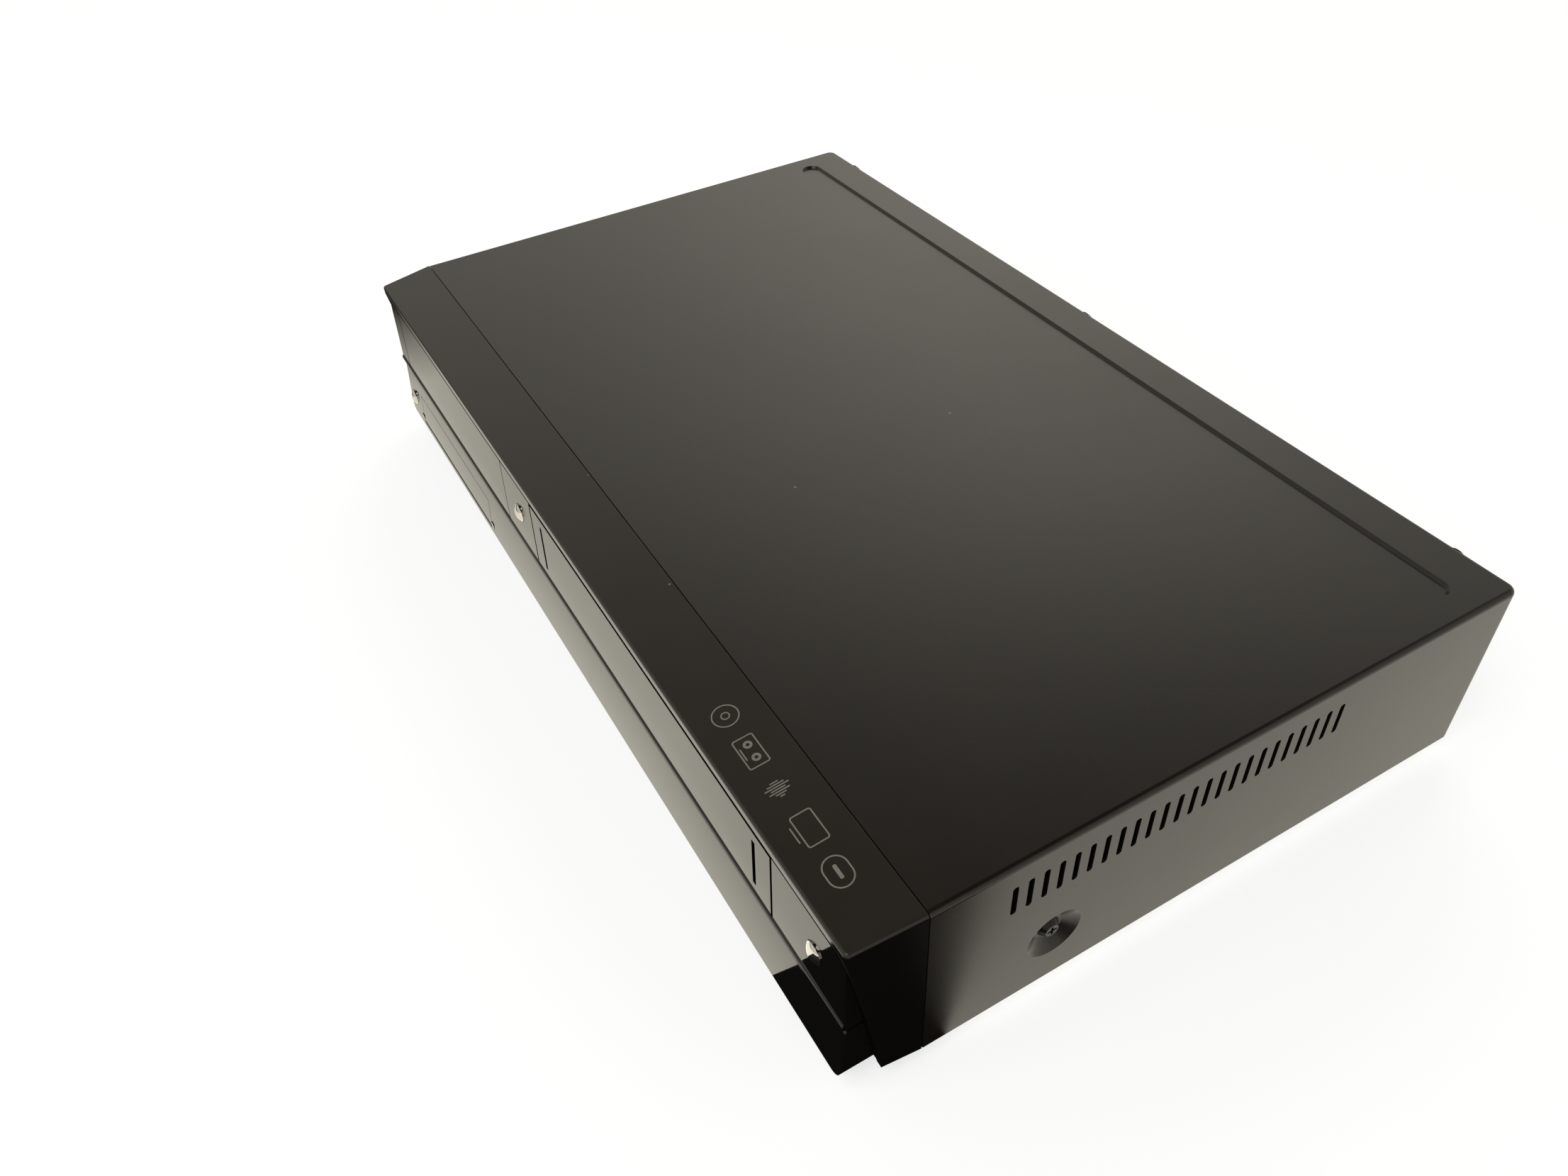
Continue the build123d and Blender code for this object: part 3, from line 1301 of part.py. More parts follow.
stator_drop = 3.4  # underside of the capstan motor's stator below the deck plate
stator_plate = 1.6
with BuildPart() as capstan_motor:
    with BuildSketch(Plane.XY.offset(deck_foot_z - stator_drop)):
        with Locations((capstan_x, capstan_y)):
            Circle(flywheel_radius - 2)
            Circle(bearing_radius - 0.4, mode=Mode.SUBTRACT)
    extrude(amount=stator_plate)
    with BuildSketch(Plane.XY.offset(deck_foot_z - stator_drop + stator_plate)):
        with Locations((capstan_x, capstan_y)):
            Circle(bearing_radius + 3.0)
            Circle(capstan_radius + running_fit, mode=Mode.SUBTRACT)
    extrude(amount=stator_drop - stator_plate)
    with BuildSketch(Plane.XY.offset(deck_foot_z - stator_drop)):
        with Locations((capstan_x, capstan_y)):
            Circle(bearing_radius)
            Circle(capstan_radius + running_fit, mode=Mode.SUBTRACT)
    extrude(amount=stator_drop + deck_sheet + bearing_rise)

with BuildPart() as capstan_rotor:
    with BuildSketch(Plane.XY.offset(deck_foot_z - stator_drop - clearance)):
        with Locations((capstan_x, capstan_y)):
            Circle(flywheel_radius)
    extrude(amount=-flywheel_height)
    fillet(capstan_rotor.edges().group_by(Axis.Z)[0], 1.0)
    with BuildSketch(Plane.XY.offset(deck_foot_z - flywheel_height)):
        with Locations((capstan_x, capstan_y)):
            Circle(capstan_radius)
    extrude(amount=flywheel_height + deck_sheet + 22.0)

arm_cos = math.cos(math.radians(pinch_open_angle))
arm_sin = math.sin(math.radians(pinch_open_angle))
pinch_x = pinch_pivot_x + pinch_reach * arm_cos
pinch_y = pinch_pivot_y + pinch_reach * arm_sin
arm_width = 8.0
with BuildPart() as pinch_arm:
    arm_plane = Plane(origin=(pinch_pivot_x, pinch_pivot_y, arm_z), x_dir=(arm_cos, arm_sin, 0))
    with BuildSketch(arm_plane):
        with Locations((pinch_reach / 2, 0)):
            SlotOverall(pinch_reach + arm_width, arm_width)
    extrude(amount=arm_sheet)
    with BuildSketch(Plane.XY.offset(arm_z - roller_length)):
        with Locations((pinch_x, pinch_y)):
            Circle(stud_radius)
    extrude(amount=roller_length)
    with Locations((pinch_pivot_x, pinch_pivot_y, arm_z)):
        Cylinder(stud_radius + running_fit, 10, mode=Mode.SUBTRACT)

with BuildPart() as pinch_roller:
    with BuildSketch(Plane.XY.offset(arm_z - clearance)):
        with Locations((pinch_x, pinch_y)):
            Circle(pinch_radius)
            Circle(stud_radius + running_fit, mode=Mode.SUBTRACT)
    extrude(amount=-roller_length)


def tape_guide(side):
    """A tape guide: foot on the deck, post above and peg through the slot."""
    x = deck_x + side * guide_offset
    with BuildPart() as guide:
        with BuildSketch(Plane.XY.offset(deck_height + clearance)):
            with Locations((x, guide_y)):
                Rectangle(9.0, 9.0)
        extrude(amount=3.0)
        with BuildSketch(Plane.XY.offset(deck_height + clearance)):
            with Locations((x, guide_y)):
                Circle(2.2)
        extrude(amount=21.0)
        with BuildSketch(Plane.XY.offset(deck_height + 21.0)):
            with Locations((x, guide_y)):
                Circle(3.4)
        extrude(amount=1.6)
        with BuildSketch(Plane.XY.offset(deck_foot_z - 0.4)):
            with Locations((x, guide_y)):
                Circle(1.4)
        extrude(amount=4.0)
    return guide


supply_guide = tape_guide(-1)
takeup_guide = tape_guide(1)

# The erase head and the sound head stand on the deck.
with BuildPart() as tape_heads:
    with BuildSketch(Plane.XY.offset(deck_height)):
        with Locations((deck_x + 64, behind(166))):
            RectangleRounded(12.0, 10.0, 3.0)
        with Locations((deck_x - 60, behind(152))):
            RectangleRounded(10.0, 8.0, 2.0)
    extrude(amount=19.0)

with BuildPart() as loading_motor:
    with BuildSketch(Plane.XY.offset(deck_height)):
        with Locations((deck_x - 84, behind(178))):
            Rectangle(24.0, 44.0)
    extrude(amount=2.0)
    with BuildSketch(facing_front(behind(196))):
        with Locations((deck_x - 84, deck_height + 12.0)):
            Circle(10.0)
    extrude(amount=28.0)
    with BuildSketch(Plane.XY.offset(deck_height)):
        with Locations((deck_x - 84, behind(182))):
            Rectangle(12.0, 20.0)
    extrude(amount=10.0)

lift_slot = 2 * (lift_pin_radius + 0.1)
slide_pins = (cage_front_y + 6.0, cage_front_y + cage_length - 6.0)
lift_pins = (cage_front_y + 12.0, cage_front_y + cage_length - 12.0)
with BuildPart() as cassette_cage:
    bay_height = cage_top_z - cage_floor_z - cage_sheet
    with BuildSketch(facing_front(cage_front_y + cage_length)):
        with Locations((deck_x, cage_floor_z)):
            Rectangle(2 * cage_half, bay_height + 2 * cage_sheet, align=(Align.CENTER, Align.MIN))
    extrude(amount=cage_length)
    with BuildSketch(facing_front(cage_front_y + cage_length)):
        with Locations((deck_x, cage_floor_z + cage_sheet)):
            Rectangle(2 * (cage_half - cage_sheet), bay_height, align=(Align.CENTER, Align.MIN))
    extrude(amount=cage_length, mode=Mode.SUBTRACT)
    # The roof is two side strips, and the floor is open round the reels.
    with BuildSketch(Plane.XY.offset(cage_top_z)):
        with Locations((deck_x, cage_front_y)):
            Rectangle(2 * cage_half - 36, cage_length - 16, align=(Align.CENTER, Align.MIN))
    extrude(amount=cage_sheet, mode=Mode.SUBTRACT)
    with BuildSketch(Plane.XY.offset(cage_floor_z)):
        for x, y in reel_places:
            with Locations((x, cage_front_y - 18)):
                RectangleRounded(36.0, 52.0, 10.0, align=(Align.CENTER, Align.MIN))
    extrude(amount=cage_sheet, mode=Mode.SUBTRACT)
    for side in (-1, 1):
        with BuildSketch(Plane.YZ.offset(deck_x + side * cage_half)):
            with Locations(*[(y, lift_pin_z) for y in lift_pins]):
                Circle(lift_pin_radius)
        extrude(amount=side * (clearance + cage_sheet))

with BuildPart() as lift_carriage:
    carriage_top_z = cage_top_z + cage_sheet + 2.0
    for side in (-1, 1):
        with BuildSketch(Plane.YZ.offset(deck_x + side * slider_half)):
            with Locations((cage_front_y, cage_floor_z)):
                Rectangle(cage_length, carriage_top_z + 1.2 - cage_floor_z, align=(Align.MIN, Align.MIN))
            # Upright slots for the cage's pins.
            with Locations(*[(y, lift_pin_z - cage_travel_down / 2) for y in lift_pins]):
                SlotOverall(cage_travel_down + lift_slot, lift_slot, rotation=90, mode=Mode.SUBTRACT)
        extrude(amount=side * cage_sheet)
        with BuildSketch(Plane.YZ.offset(deck_x + side * (slider_half + cage_sheet))):
            with Locations(*[(y, slide_pin_z) for y in slide_pins]):
                Circle(lift_pin_radius)
        extrude(amount=side * (clearance + 1.2))
    with BuildSketch(Plane.XY.offset(carriage_top_z)):
        with Locations((deck_x, cage_front_y + 40)):
            Rectangle(2 * slider_half + 0.2, 12.0)
    extrude(amount=1.2)

rail_front_edge = behind(18.0)
rail_back_edge = behind(142.0)
rail_length = rail_back_edge - rail_front_edge
lift_rail_top_z = carriage_top_z + 2.2
with BuildPart() as lift_rails:
    for side in (-1, 1):
        with BuildSketch(Plane.YZ.offset(deck_x + side * rail_half)):
            with Locations((rail_front_edge, deck_height)):
                Rectangle(rail_length, lift_rail_top_z - deck_height, align=(Align.MIN, Align.MIN))
            # Long slots for the carriage's pins.
            slot_middle = (slide_pins[0] + slide_pins[1] + cage_travel_in) / 2
            slot_reach = slide_pins[1] - slide_pins[0] + cage_travel_in + lift_slot
            with Locations((slot_middle, slide_pin_z)):
                SlotOverall(slot_reach, lift_slot, mode=Mode.SUBTRACT)
        extrude(amount=side * 1.2)
        with BuildSketch(Plane.XY.offset(deck_height)):
            with Locations((deck_x + side * (rail_half + rail_foot / 2), rail_front_edge + rail_length / 2)):
                Rectangle(rail_foot, rail_length - 4)
        extrude(amount=1.2)
    with BuildSketch(Plane.XY.offset(lift_rail_top_z - 0.6)):
        with Locations((deck_x, behind(132.0))):
            Rectangle(2 * rail_half + 2.0, 14.0)
    extrude(amount=1.2)

# ---------------------------------------------------------------- electronics
with BuildPart() as main_board:
    with BuildSketch(Plane.XY.offset(board_z)):
        with Locations(((main_board_left + main_board_right) / 2, (main_board_front + main_board_back) / 2)):
            Rectangle(main_board_right - main_board_left, main_board_back - main_board_front)
        with Locations(*deck_legs):
            Circle(4.0, mode=Mode.SUBTRACT)
    extrude(amount=board)
    # Large chips, coils and a row of capacitors, soldered to the board.
    chip_height = 1.6
    with BuildSketch(Plane.XY.offset(board_top_z)):
        with Locations((deck_x - 34, behind(80)), (deck_x + 46, behind(70)), (deck_x - 64, behind(120))):
            Rectangle(24, 24)
        with Locations((deck_x - 14, behind(130))):
            with GridLocations(14, 20, 4, 2):
                Rectangle(8, 5)
    extrude(amount=chip_height)
    with BuildSketch(Plane.XY.offset(board_top_z)):
        with Locations((main_board_left + 10, behind(150))):
            with GridLocations(1, 16, 1, 4):
                Circle(4.0)
    extrude(amount=10.0)

with BuildPart() as disc_board:
    with BuildSketch(Plane.XY.offset(board_z)):
        with Locations((tray_x, (disc_board_front + disc_board_back) / 2)):
            Rectangle(2 * disc_board_half, disc_board_back - disc_board_front)
    extrude(amount=board)
    with BuildSketch(Plane.XY.offset(board_top_z)):
        with Locations((tray_x - 10, behind(112))):
            Rectangle(28, 28)
        with Locations((tray_x + 30, behind(124)), (tray_x - 40, behind(84))):
            Rectangle(20, 9)
    extrude(amount=chip_height)

with BuildPart() as power_board:
    with BuildSketch(Plane.XY.offset(board_z)):
        with Locations((power_board_x, power_board_y)):
            Rectangle(power_board_right - power_board_left, power_board_back - power_board_front)
    extrude(amount=board)
    # Finned heat sink with its transistors.
    with BuildSketch(Plane.XY.offset(board_top_z)):
        with Locations((power_board_x + 50, power_board_y - 11)):
            Rectangle(3, 36)
            with Locations((5, 0)):
                with GridLocations(1, 7, 1, 5):
                    Rectangle(10, 1.6)
    extrude(amount=26.0)
    with BuildSketch(Plane.XY.offset(board_top_z)):
        with Locations((power_board_x - 24, power_board_y - 25), (power_board_x - 6, power_board_y - 25)):
            Circle(5.0)
    extrude(amount=16.0)
    # Reservoir capacitor.
    with BuildSketch(Plane.XY.offset(board_top_z)):
        with Locations((power_board_x - 44, power_board_y - 5)):
            Circle(11.0)
    extrude(amount=30.0)
    fillet(power_board.edges().group_by(Axis.Z)[-1], 1.2)

transformer_x = power_board_x - 8.0
transformer_y = power_board_y + 3.0
with BuildPart() as power_transformer:
    # Bobbin foot, winding and the core round it.
    for width, depth, lift, height in ((34, 28, 0, 4.0), (30, 22, 4.0, 18.0), (36, 10, 8.0, 12.0)):
        with BuildSketch(Plane.XY.offset(board_top_z + lift)):
            with Locations((transformer_x, transformer_y)):
                Rectangle(width, depth)
        extrude(amount=height)

display_board_x = window_x + 32.0
display_board_length = 286.0
display_board_foot_z = cover_z + moulding + 1.0
display_board_top_z = window_top_z + 3.0
with BuildPart() as display_board:
    with BuildSketch(facing_front(front_wall_back_y + board)):
        with Locations((display_board_x, (display_board_foot_z + display_board_top_z) / 2)):
            Rectangle(display_board_length, display_board_top_z - display_board_foot_z)
    extrude(amount=board)

with BuildPart() as display_tube:
    with BuildSketch(facing_front(front_wall_back_y)):
        with Locations((window_x, (window_foot_z + window_top_z) / 2)):
            Rectangle(104.0, 16.0)
    extrude(amount=6.0)

round_jack_radius = 3.6
front_phonos = [(jack_left + 14 + 15 * number, jack_z) for number in range(3)]
round_jack = (front_phonos[-1][0] + 17, jack_z)
camera_jack = (jack_right - 12, jack_z)
jack_face_y = behind(8.0)
jack_collar = 2.4
phono_bore = 1.7
with BuildPart() as front_jacks:
    with BuildSketch(facing_front(behind(34))):
        with Locations((jack_x, jack_z)):
            Rectangle(jack_right - jack_left, jack_top_z - jack_foot_z)
    extrude(amount=26.0)
    fillet(front_jacks.edges().filter_by(Axis.Y), 1.0)
    with BuildSketch(Plane.XY.offset(floor_z + jack_board_lift)):
        with Locations((jack_x, jack_board_y)):
            Rectangle(jack_right - jack_left, 20.0)
    extrude(amount=board)
    with BuildSketch(facing_front(jack_face_y)):
        with Locations(*front_phonos):
            Circle(phono_radius)
        with Locations(round_jack):
            Circle(round_jack_radius + 1.0)
        with Locations(camera_jack):
            Rectangle(8.0, 5.0)
    extrude(amount=jack_collar)
    with BuildSketch(facing_front(jack_face_y - jack_collar)):
        with Locations(*front_phonos):
            Circle(phono_bore)
        with Locations(round_jack):
            Circle(round_jack_radius)
        with Locations(camera_jack):
            Rectangle(6.0, 3.0)
    extrude(amount=-8.0, mode=Mode.SUBTRACT)

with BuildPart() as scart_sockets:
    for x in scart_x:
        with BuildSketch(facing_front(rear_inner_y - clearance)):
            with Locations((x, socket_z)):
                Rectangle(scart_size[0] + 3, scart_size[1] + 5, align=(Align.CENTER, Align.MIN))
        extrude(amount=16.0)
        with BuildSketch(facing_front(rear_y + 2.0)):
            with Locations((x, scart_z)):
                Rectangle(*scart_size)
        extrude(amount=rear_y + 2.0 - rear_inner_y + clearance)
        with BuildSketch(facing_front(rear_y + 2.0)):
            with Locations((x, scart_z)):
                outline((-21.5, -5.5), (21.5, -5.5), (21.5, 2.0), (18.0, 5.5), (-21.5, 5.5))
        extrude(amount=10.0, mode=Mode.SUBTRACT)

with BuildPart() as phono_block:
    phono_width = phono_pitch * phono_columns
    with BuildSketch(facing_front(rear_inner_y - clearance)):
        with Locations((phono_x, socket_z)):
            Rectangle(phono_width, phono_z - socket_z + phono_pitch, align=(Align.CENTER, Align.MIN))
    extrude(amount=10.0)
    with BuildSketch(facing_front(rear_y + 6.0)):
        with Locations((phono_x, phono_z)):
            with GridLocations(phono_pitch, phono_pitch, phono_columns, phono_rows):
                Circle(phono_radius)
    extrude(amount=rear_y + 6.0 - rear_inner_y + clearance)
    with BuildSketch(facing_front(rear_y + 6.0)):
        with Locations((phono_x, phono_z)):
            with GridLocations(phono_pitch, phono_pitch, phono_columns, phono_rows):
                Circle(phono_bore)
    extrude(amount=9.0, mode=Mode.SUBTRACT)

with BuildPart() as hdmi_socket:
    with BuildSketch(facing_front(rear_y + 0.6)):
        with Locations((hdmi_x, hdmi_z)):
            Rectangle(*hdmi_size)
    extrude(amount=14.0)
    with BuildSketch(Plane.XY.offset(socket_z)):
        with Locations((hdmi_x, rear_inner_y - 4)):
            Rectangle(hdmi_size[0] - 2, 8.0)
    extrude(amount=1.4)
    with BuildSketch(facing_front(rear_y + 0.6)):
        with Locations((hdmi_x, hdmi_z)):
            outline((-7.0, 2.3), (7.0, 2.3), (7.0, -0.8), (5.6, -2.3), (-5.6, -2.3), (-7.0, -0.8))
            with Locations((0, 0.4)):
                Rectangle(11.0, 1.0, mode=Mode.SUBTRACT)
    extrude(amount=9.0, mode=Mode.SUBTRACT)

with BuildPart() as tuner_module:
    with BuildSketch(facing_front(rear_inner_y - clearance)):
        with Locations((tuner_x, socket_z)):
            Rectangle(20.0, 46.0, align=(Align.CENTER, Align.MIN))
    extrude(amount=54.0)
    # Each socket: a collar through the rear panel, a barrel, and a bore with its contact tube.
    collar_face_y = rear_panel_y + aerial_collar_proud
    with BuildSketch(facing_front(collar_face_y)):
        with Locations((tuner_x, tuner_z)):
            with GridLocations(1, aerial_spacing, 1, 2):
                Circle(aerial_collar_radius)
    extrude(amount=collar_face_y - rear_inner_y + clearance)
    with BuildSketch(facing_front(rear_y + socket_reach)):
        with Locations((tuner_x, tuner_z)):
            with GridLocations(1, aerial_spacing, 1, 2):
                Circle(aerial_radius)
    extrude(amount=rear_y + socket_reach - collar_face_y)
    with BuildSketch(facing_front(rear_y + socket_reach)):
        with Locations((tuner_x, tuner_z)):
            with GridLocations(1, aerial_spacing, 1, 2):
                Circle(aerial_radius - 1.0)
                Circle(1.2, mode=Mode.SUBTRACT)
    extrude(amount=9.0, mode=Mode.SUBTRACT)

with BuildPart() as mains_inlet:
    with BuildSketch(facing_front(rear_y)):
        with Locations((inlet_x, inlet_z)):
            Rectangle(*inlet_size)
    extrude(amount=22.0)
    with BuildSketch(Plane.XY.offset(socket_z)):
        with Locations((inlet_x, rear_inner_y - 12)):
            Rectangle(inlet_size[0], 14.0)
    extrude(amount=5.0)
    # Figure-of-eight recess with its two pins.
    with BuildSketch(facing_front(rear_y)):
        with Locations((inlet_x, inlet_z)):
            SlotOverall(17.0, 9.0)
            with GridLocations(8.6, 1, 2, 1):
                Circle(1.2, mode=Mode.SUBTRACT)
    extrude(amount=12.0, mode=Mode.SUBTRACT)

fan_rotor_radius = 18.2
with BuildPart() as fan_frame:
    with BuildSketch(facing_front(rear_inner_y)):
        with Locations((fan_x, fan_z)):
            RectangleRounded(fan_side, fan_side, 3.0)
            Circle(fan_rotor_radius + 0.6, mode=Mode.SUBTRACT)
    extrude(amount=fan_depth)
    # Hub carried by three struts on the inner side.
    with BuildSketch(facing_front(rear_inner_y - fan_depth + 1.6)):
        with Locations((fan_x, fan_z)):
            Circle(9.0)
            with PolarLocations(13.5, 3):
                Rectangle(12.0, 2.0)
    extrude(amount=1.6)
    with BuildSketch(facing_front(rear_inner_y - fan_depth + 6.0)):
        with Locations((fan_x, fan_z)):
            Circle(1.5)
    extrude(amount=5.0)

with BuildPart() as fan_rotor:
    rotor_y = rear_inner_y - fan_depth + 1.6 + clearance
    with BuildSketch(facing_front(rotor_y)):
        with Locations((fan_x, fan_z)):
            Circle(9.0)
    extrude(amount=-7.0)
    for number in range(7):
        blade_angle = 360 / 7 * number
        blade_plane = Plane(
            origin=(fan_x, rotor_y + 3.5, fan_z),
            x_dir=(math.cos(math.radians(blade_angle)), 0, math.sin(math.radians(blade_angle))),
            z_dir=(-math.sin(math.radians(blade_angle)), -1.2, math.cos(math.radians(blade_angle))),
        )
        with BuildSketch(blade_plane):
            with Locations((13.2, 0)):
                Rectangle(9.4, 7.0)
        extrude(amount=0.5, both=True)
    with Locations(Plane(origin=(fan_x, rotor_y, fan_z), z_dir=(0, 1, 0))):
        Cylinder(
            stud_radius + running_fit,
            5.0,
            align=(Align.CENTER, Align.CENTER, Align.MIN),
            mode=Mode.SUBTRACT,
        )

pieces = {
    "traverse_deck": traverse_deck,
    "pickup_rails": pickup_rails,
    "optical_pickup": optical_pickup,
    "spindle_motor": spindle_motor,
    "turntable": turntable,
    "clamp_bridge": clamp_bridge,
    "disc_clamp": disc_clamp,
    "deck_plate": deck_plate,
    "supply_reel": supply_reel,
    "takeup_reel": takeup_reel,
    "drum_base": drum_base,
    "head_drum": head_drum,
    "capstan_motor": capstan_motor,
    "capstan_rotor": capstan_rotor,
    "pinch_arm": pinch_arm,
    "pinch_roller": pinch_roller,
    "supply_guide": supply_guide,
    "takeup_guide": takeup_guide,
    "tape_heads": tape_heads,
    "loading_motor": loading_motor,
    "cassette_cage": cassette_cage,
    "lift_carriage": lift_carriage,
    "lift_rails": lift_rails,
    "main_board": main_board,
    "disc_board": disc_board,
    "power_board": power_board,
    "power_transformer": power_transformer,
    "display_board": display_board,
    "display_tube": display_tube,
    "front_jacks": front_jacks,
    "scart_sockets": scart_sockets,
    "phono_block": phono_block,
    "hdmi_socket": hdmi_socket,
    "tuner_module": tuner_module,
    "mains_inlet": mains_inlet,
    "fan_frame": fan_frame,
    "fan_rotor": fan_rotor,
    "tray_door": tray_door,
    "cassette_door": cassette_door,
    "door_spring": door_spring,
    "jack_door": jack_door,
    "power_button": power_button,
    "disc_button": disc_button,
    "tape_button": tape_button,
    "switch_boards": switch_boards,
    "loader_frame": loader_frame,
    "disc_tray": disc_tray,
    "tray_gear": tray_gear,
    "tray_motor": tray_motor,
    "motor_pulley": motor_pulley,
    "tray_belt": tray_belt,
    "top_cover": top_cover,
    "cover_screws": cover_screws,
    "chassis_pan": chassis_pan,
    "feet": feet,
    "foot_pads": foot_pads,
    "rear_panel": rear_panel,
    "front_fascia": front_fascia,
    "upper_panel": upper_panel,
    "lower_panel": lower_panel,
}
for label, piece in pieces.items():
    piece.part.label = label
    export_step(piece.part, f"parts/{label}.step")
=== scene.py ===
import json
import math

import bmesh
import bpy
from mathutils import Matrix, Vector


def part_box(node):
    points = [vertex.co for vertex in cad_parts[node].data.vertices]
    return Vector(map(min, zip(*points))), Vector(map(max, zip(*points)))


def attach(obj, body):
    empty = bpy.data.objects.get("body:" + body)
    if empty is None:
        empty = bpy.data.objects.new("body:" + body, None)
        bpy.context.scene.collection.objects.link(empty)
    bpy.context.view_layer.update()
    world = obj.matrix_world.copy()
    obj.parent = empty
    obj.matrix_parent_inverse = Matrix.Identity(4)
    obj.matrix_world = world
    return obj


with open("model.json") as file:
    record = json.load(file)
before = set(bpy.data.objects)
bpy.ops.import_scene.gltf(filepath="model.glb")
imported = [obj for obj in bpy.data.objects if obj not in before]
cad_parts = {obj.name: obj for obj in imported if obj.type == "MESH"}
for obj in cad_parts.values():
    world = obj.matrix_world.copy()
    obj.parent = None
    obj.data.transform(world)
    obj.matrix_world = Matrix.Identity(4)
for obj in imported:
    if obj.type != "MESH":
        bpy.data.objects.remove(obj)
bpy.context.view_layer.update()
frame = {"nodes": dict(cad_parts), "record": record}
nodes = frame["nodes"]
mm = 0.001

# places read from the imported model
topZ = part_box("top_cover")[1].z
fasciaLow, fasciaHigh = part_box("front_fascia")
seamY = fasciaHigh.y
lipY = fasciaLow.y
hoodDrop = 2.6 * mm  # fall of the hood from the seam to the lip


def hoodZ(y):
    return topZ - hoodDrop * (seamY - y) / (seamY - lipY)


# camera, at the photograph's place
cameraSettings = {
    "place": (0.3540, -0.21585, 0.3559),
    "right": (0.4963, 0.8669, -0.0465),
    "up": (-0.5693, 0.3655, 0.7364),
    "lens": 27.79,
    "sensor": 36.0,
}


def addCamera(settings):
    data = bpy.data.cameras.new("camera")
    data.lens = settings["lens"]
    data.sensor_width = settings["sensor"]
    data.sensor_fit = "HORIZONTAL"
    data.clip_start = 0.01
    camera = bpy.data.objects.new("camera", data)
    right = Vector(settings["right"]).normalized()
    up = Vector(settings["up"]).normalized()
    back = right.cross(up).normalized()
    up = back.cross(right)
    turn = camera.matrix_world.copy()
    for row in range(3):
        turn[row][0], turn[row][1], turn[row][2] = right[row], up[row], back[row]
        turn[row][3] = settings["place"][row]
    camera.matrix_world = turn
    bpy.context.scene.collection.objects.link(camera)
    bpy.context.scene.camera = camera


addCamera(cameraSettings)
bpy.context.scene.view_settings.view_transform = "Standard"
print("stage: camera set")


# small helpers for building node trees
def link(tree, source, target):
    tree.links.new(source, target)


def addNode(tree, kind, **values):
    node = tree.nodes.new(kind)
    for key, value in values.items():
        setattr(node, key, value)
    return node


def mathNode(tree, operation, first, second=None, clamp=False):
    node = addNode(tree, "ShaderNodeMath", operation=operation, use_clamp=clamp)
    for index, value in enumerate((first, second)):
        if value is None:
            continue
        if isinstance(value, (int, float)):
            node.inputs[index].default_value = value
        else:
            link(tree, value, node.inputs[index])
    return node.outputs[0]


def rampNode(tree, source, stops, mode="LINEAR"):
    node = addNode(tree, "ShaderNodeValToRGB")
    node.color_ramp.interpolation = mode
    elements = node.color_ramp.elements
    while len(elements) < len(stops):
        elements.new(0.5)
    for element, (place, value) in zip(elements, stops):
        element.position = place
        element.color = (*value, 1.0) if isinstance(value, tuple) else (value, value, value, 1.0)
    link(tree, source, node.inputs[0])
    return node.outputs[0]


def mapRange(tree, source, low, high, toLow=0.0, toHigh=1.0):
    node = addNode(tree, "ShaderNodeMapRange")
    link(tree, source, node.inputs["Value"])
    node.inputs["From Min"].default_value = low
    node.inputs["From Max"].default_value = high
    node.inputs["To Min"].default_value = toLow
    node.inputs["To Max"].default_value = toHigh
    return node.outputs["Result"]


def mixColour(tree, factor, first, second, blend="MIX"):
    node = addNode(tree, "ShaderNodeMix", data_type="RGBA", blend_type=blend)
    for socket, value in ((node.inputs[0], factor), (node.inputs[6], first), (node.inputs[7], second)):
        if isinstance(value, (int, float)):
            socket.default_value = value
        elif isinstance(value, tuple):
            socket.default_value = (*value, 1.0)
        else:
            link(tree, value, socket)
    return node.outputs[2]


def newGroup(name, inputs, outputs):
    group = bpy.data.node_groups.new(name, "ShaderNodeTree")
    for socketName, default in inputs:
        socket = group.interface.new_socket(socketName, in_out="INPUT", socket_type="NodeSocketFloat")
        socket.default_value = default
    for socketName, kind in outputs:
        group.interface.new_socket(socketName, in_out="OUTPUT", socket_type=kind)
    return group, addNode(group, "NodeGroupInput"), addNode(group, "NodeGroupOutput")


# edge wear and painted edge highlight: a mask that is 1 on the rounded edges of a piece
def buildEdgeWearAndHighlight():
    group, given, out = newGroup(
        "edgeWearAndHighlight",
        [("Radius", 0.5 * mm), ("Breakup", 60.0)],
        [("Mask", "NodeSocketFloat")],
    )
    bevel = addNode(group, "ShaderNodeBevel", samples=4)
    link(group, given.outputs["Radius"], bevel.inputs["Radius"])
    geometry = addNode(group, "ShaderNodeNewGeometry")
    dot = addNode(group, "ShaderNodeVectorMath", operation="DOT_PRODUCT")
    link(group, bevel.outputs[0], dot.inputs[0])
    link(group, geometry.outputs["Normal"], dot.inputs[1])
    edge = mapRange(group, dot.outputs["Value"], 0.995, 0.80)
    coords = addNode(group, "ShaderNodeTexCoord")
    noise = addNode(group, "ShaderNodeTexNoise")
    noise.inputs["Detail"].default_value = 4.0
    link(group, coords.outputs["Object"], noise.inputs["Vector"])
    link(group, given.outputs["Breakup"], noise.inputs["Scale"])
    patch = mapRange(group, noise.outputs["Fac"], 0.35, 0.65, 0.35, 1.0)
    link(group, mathNode(group, "MULTIPLY", edge, patch, clamp=True), out.inputs["Mask"])
    return group


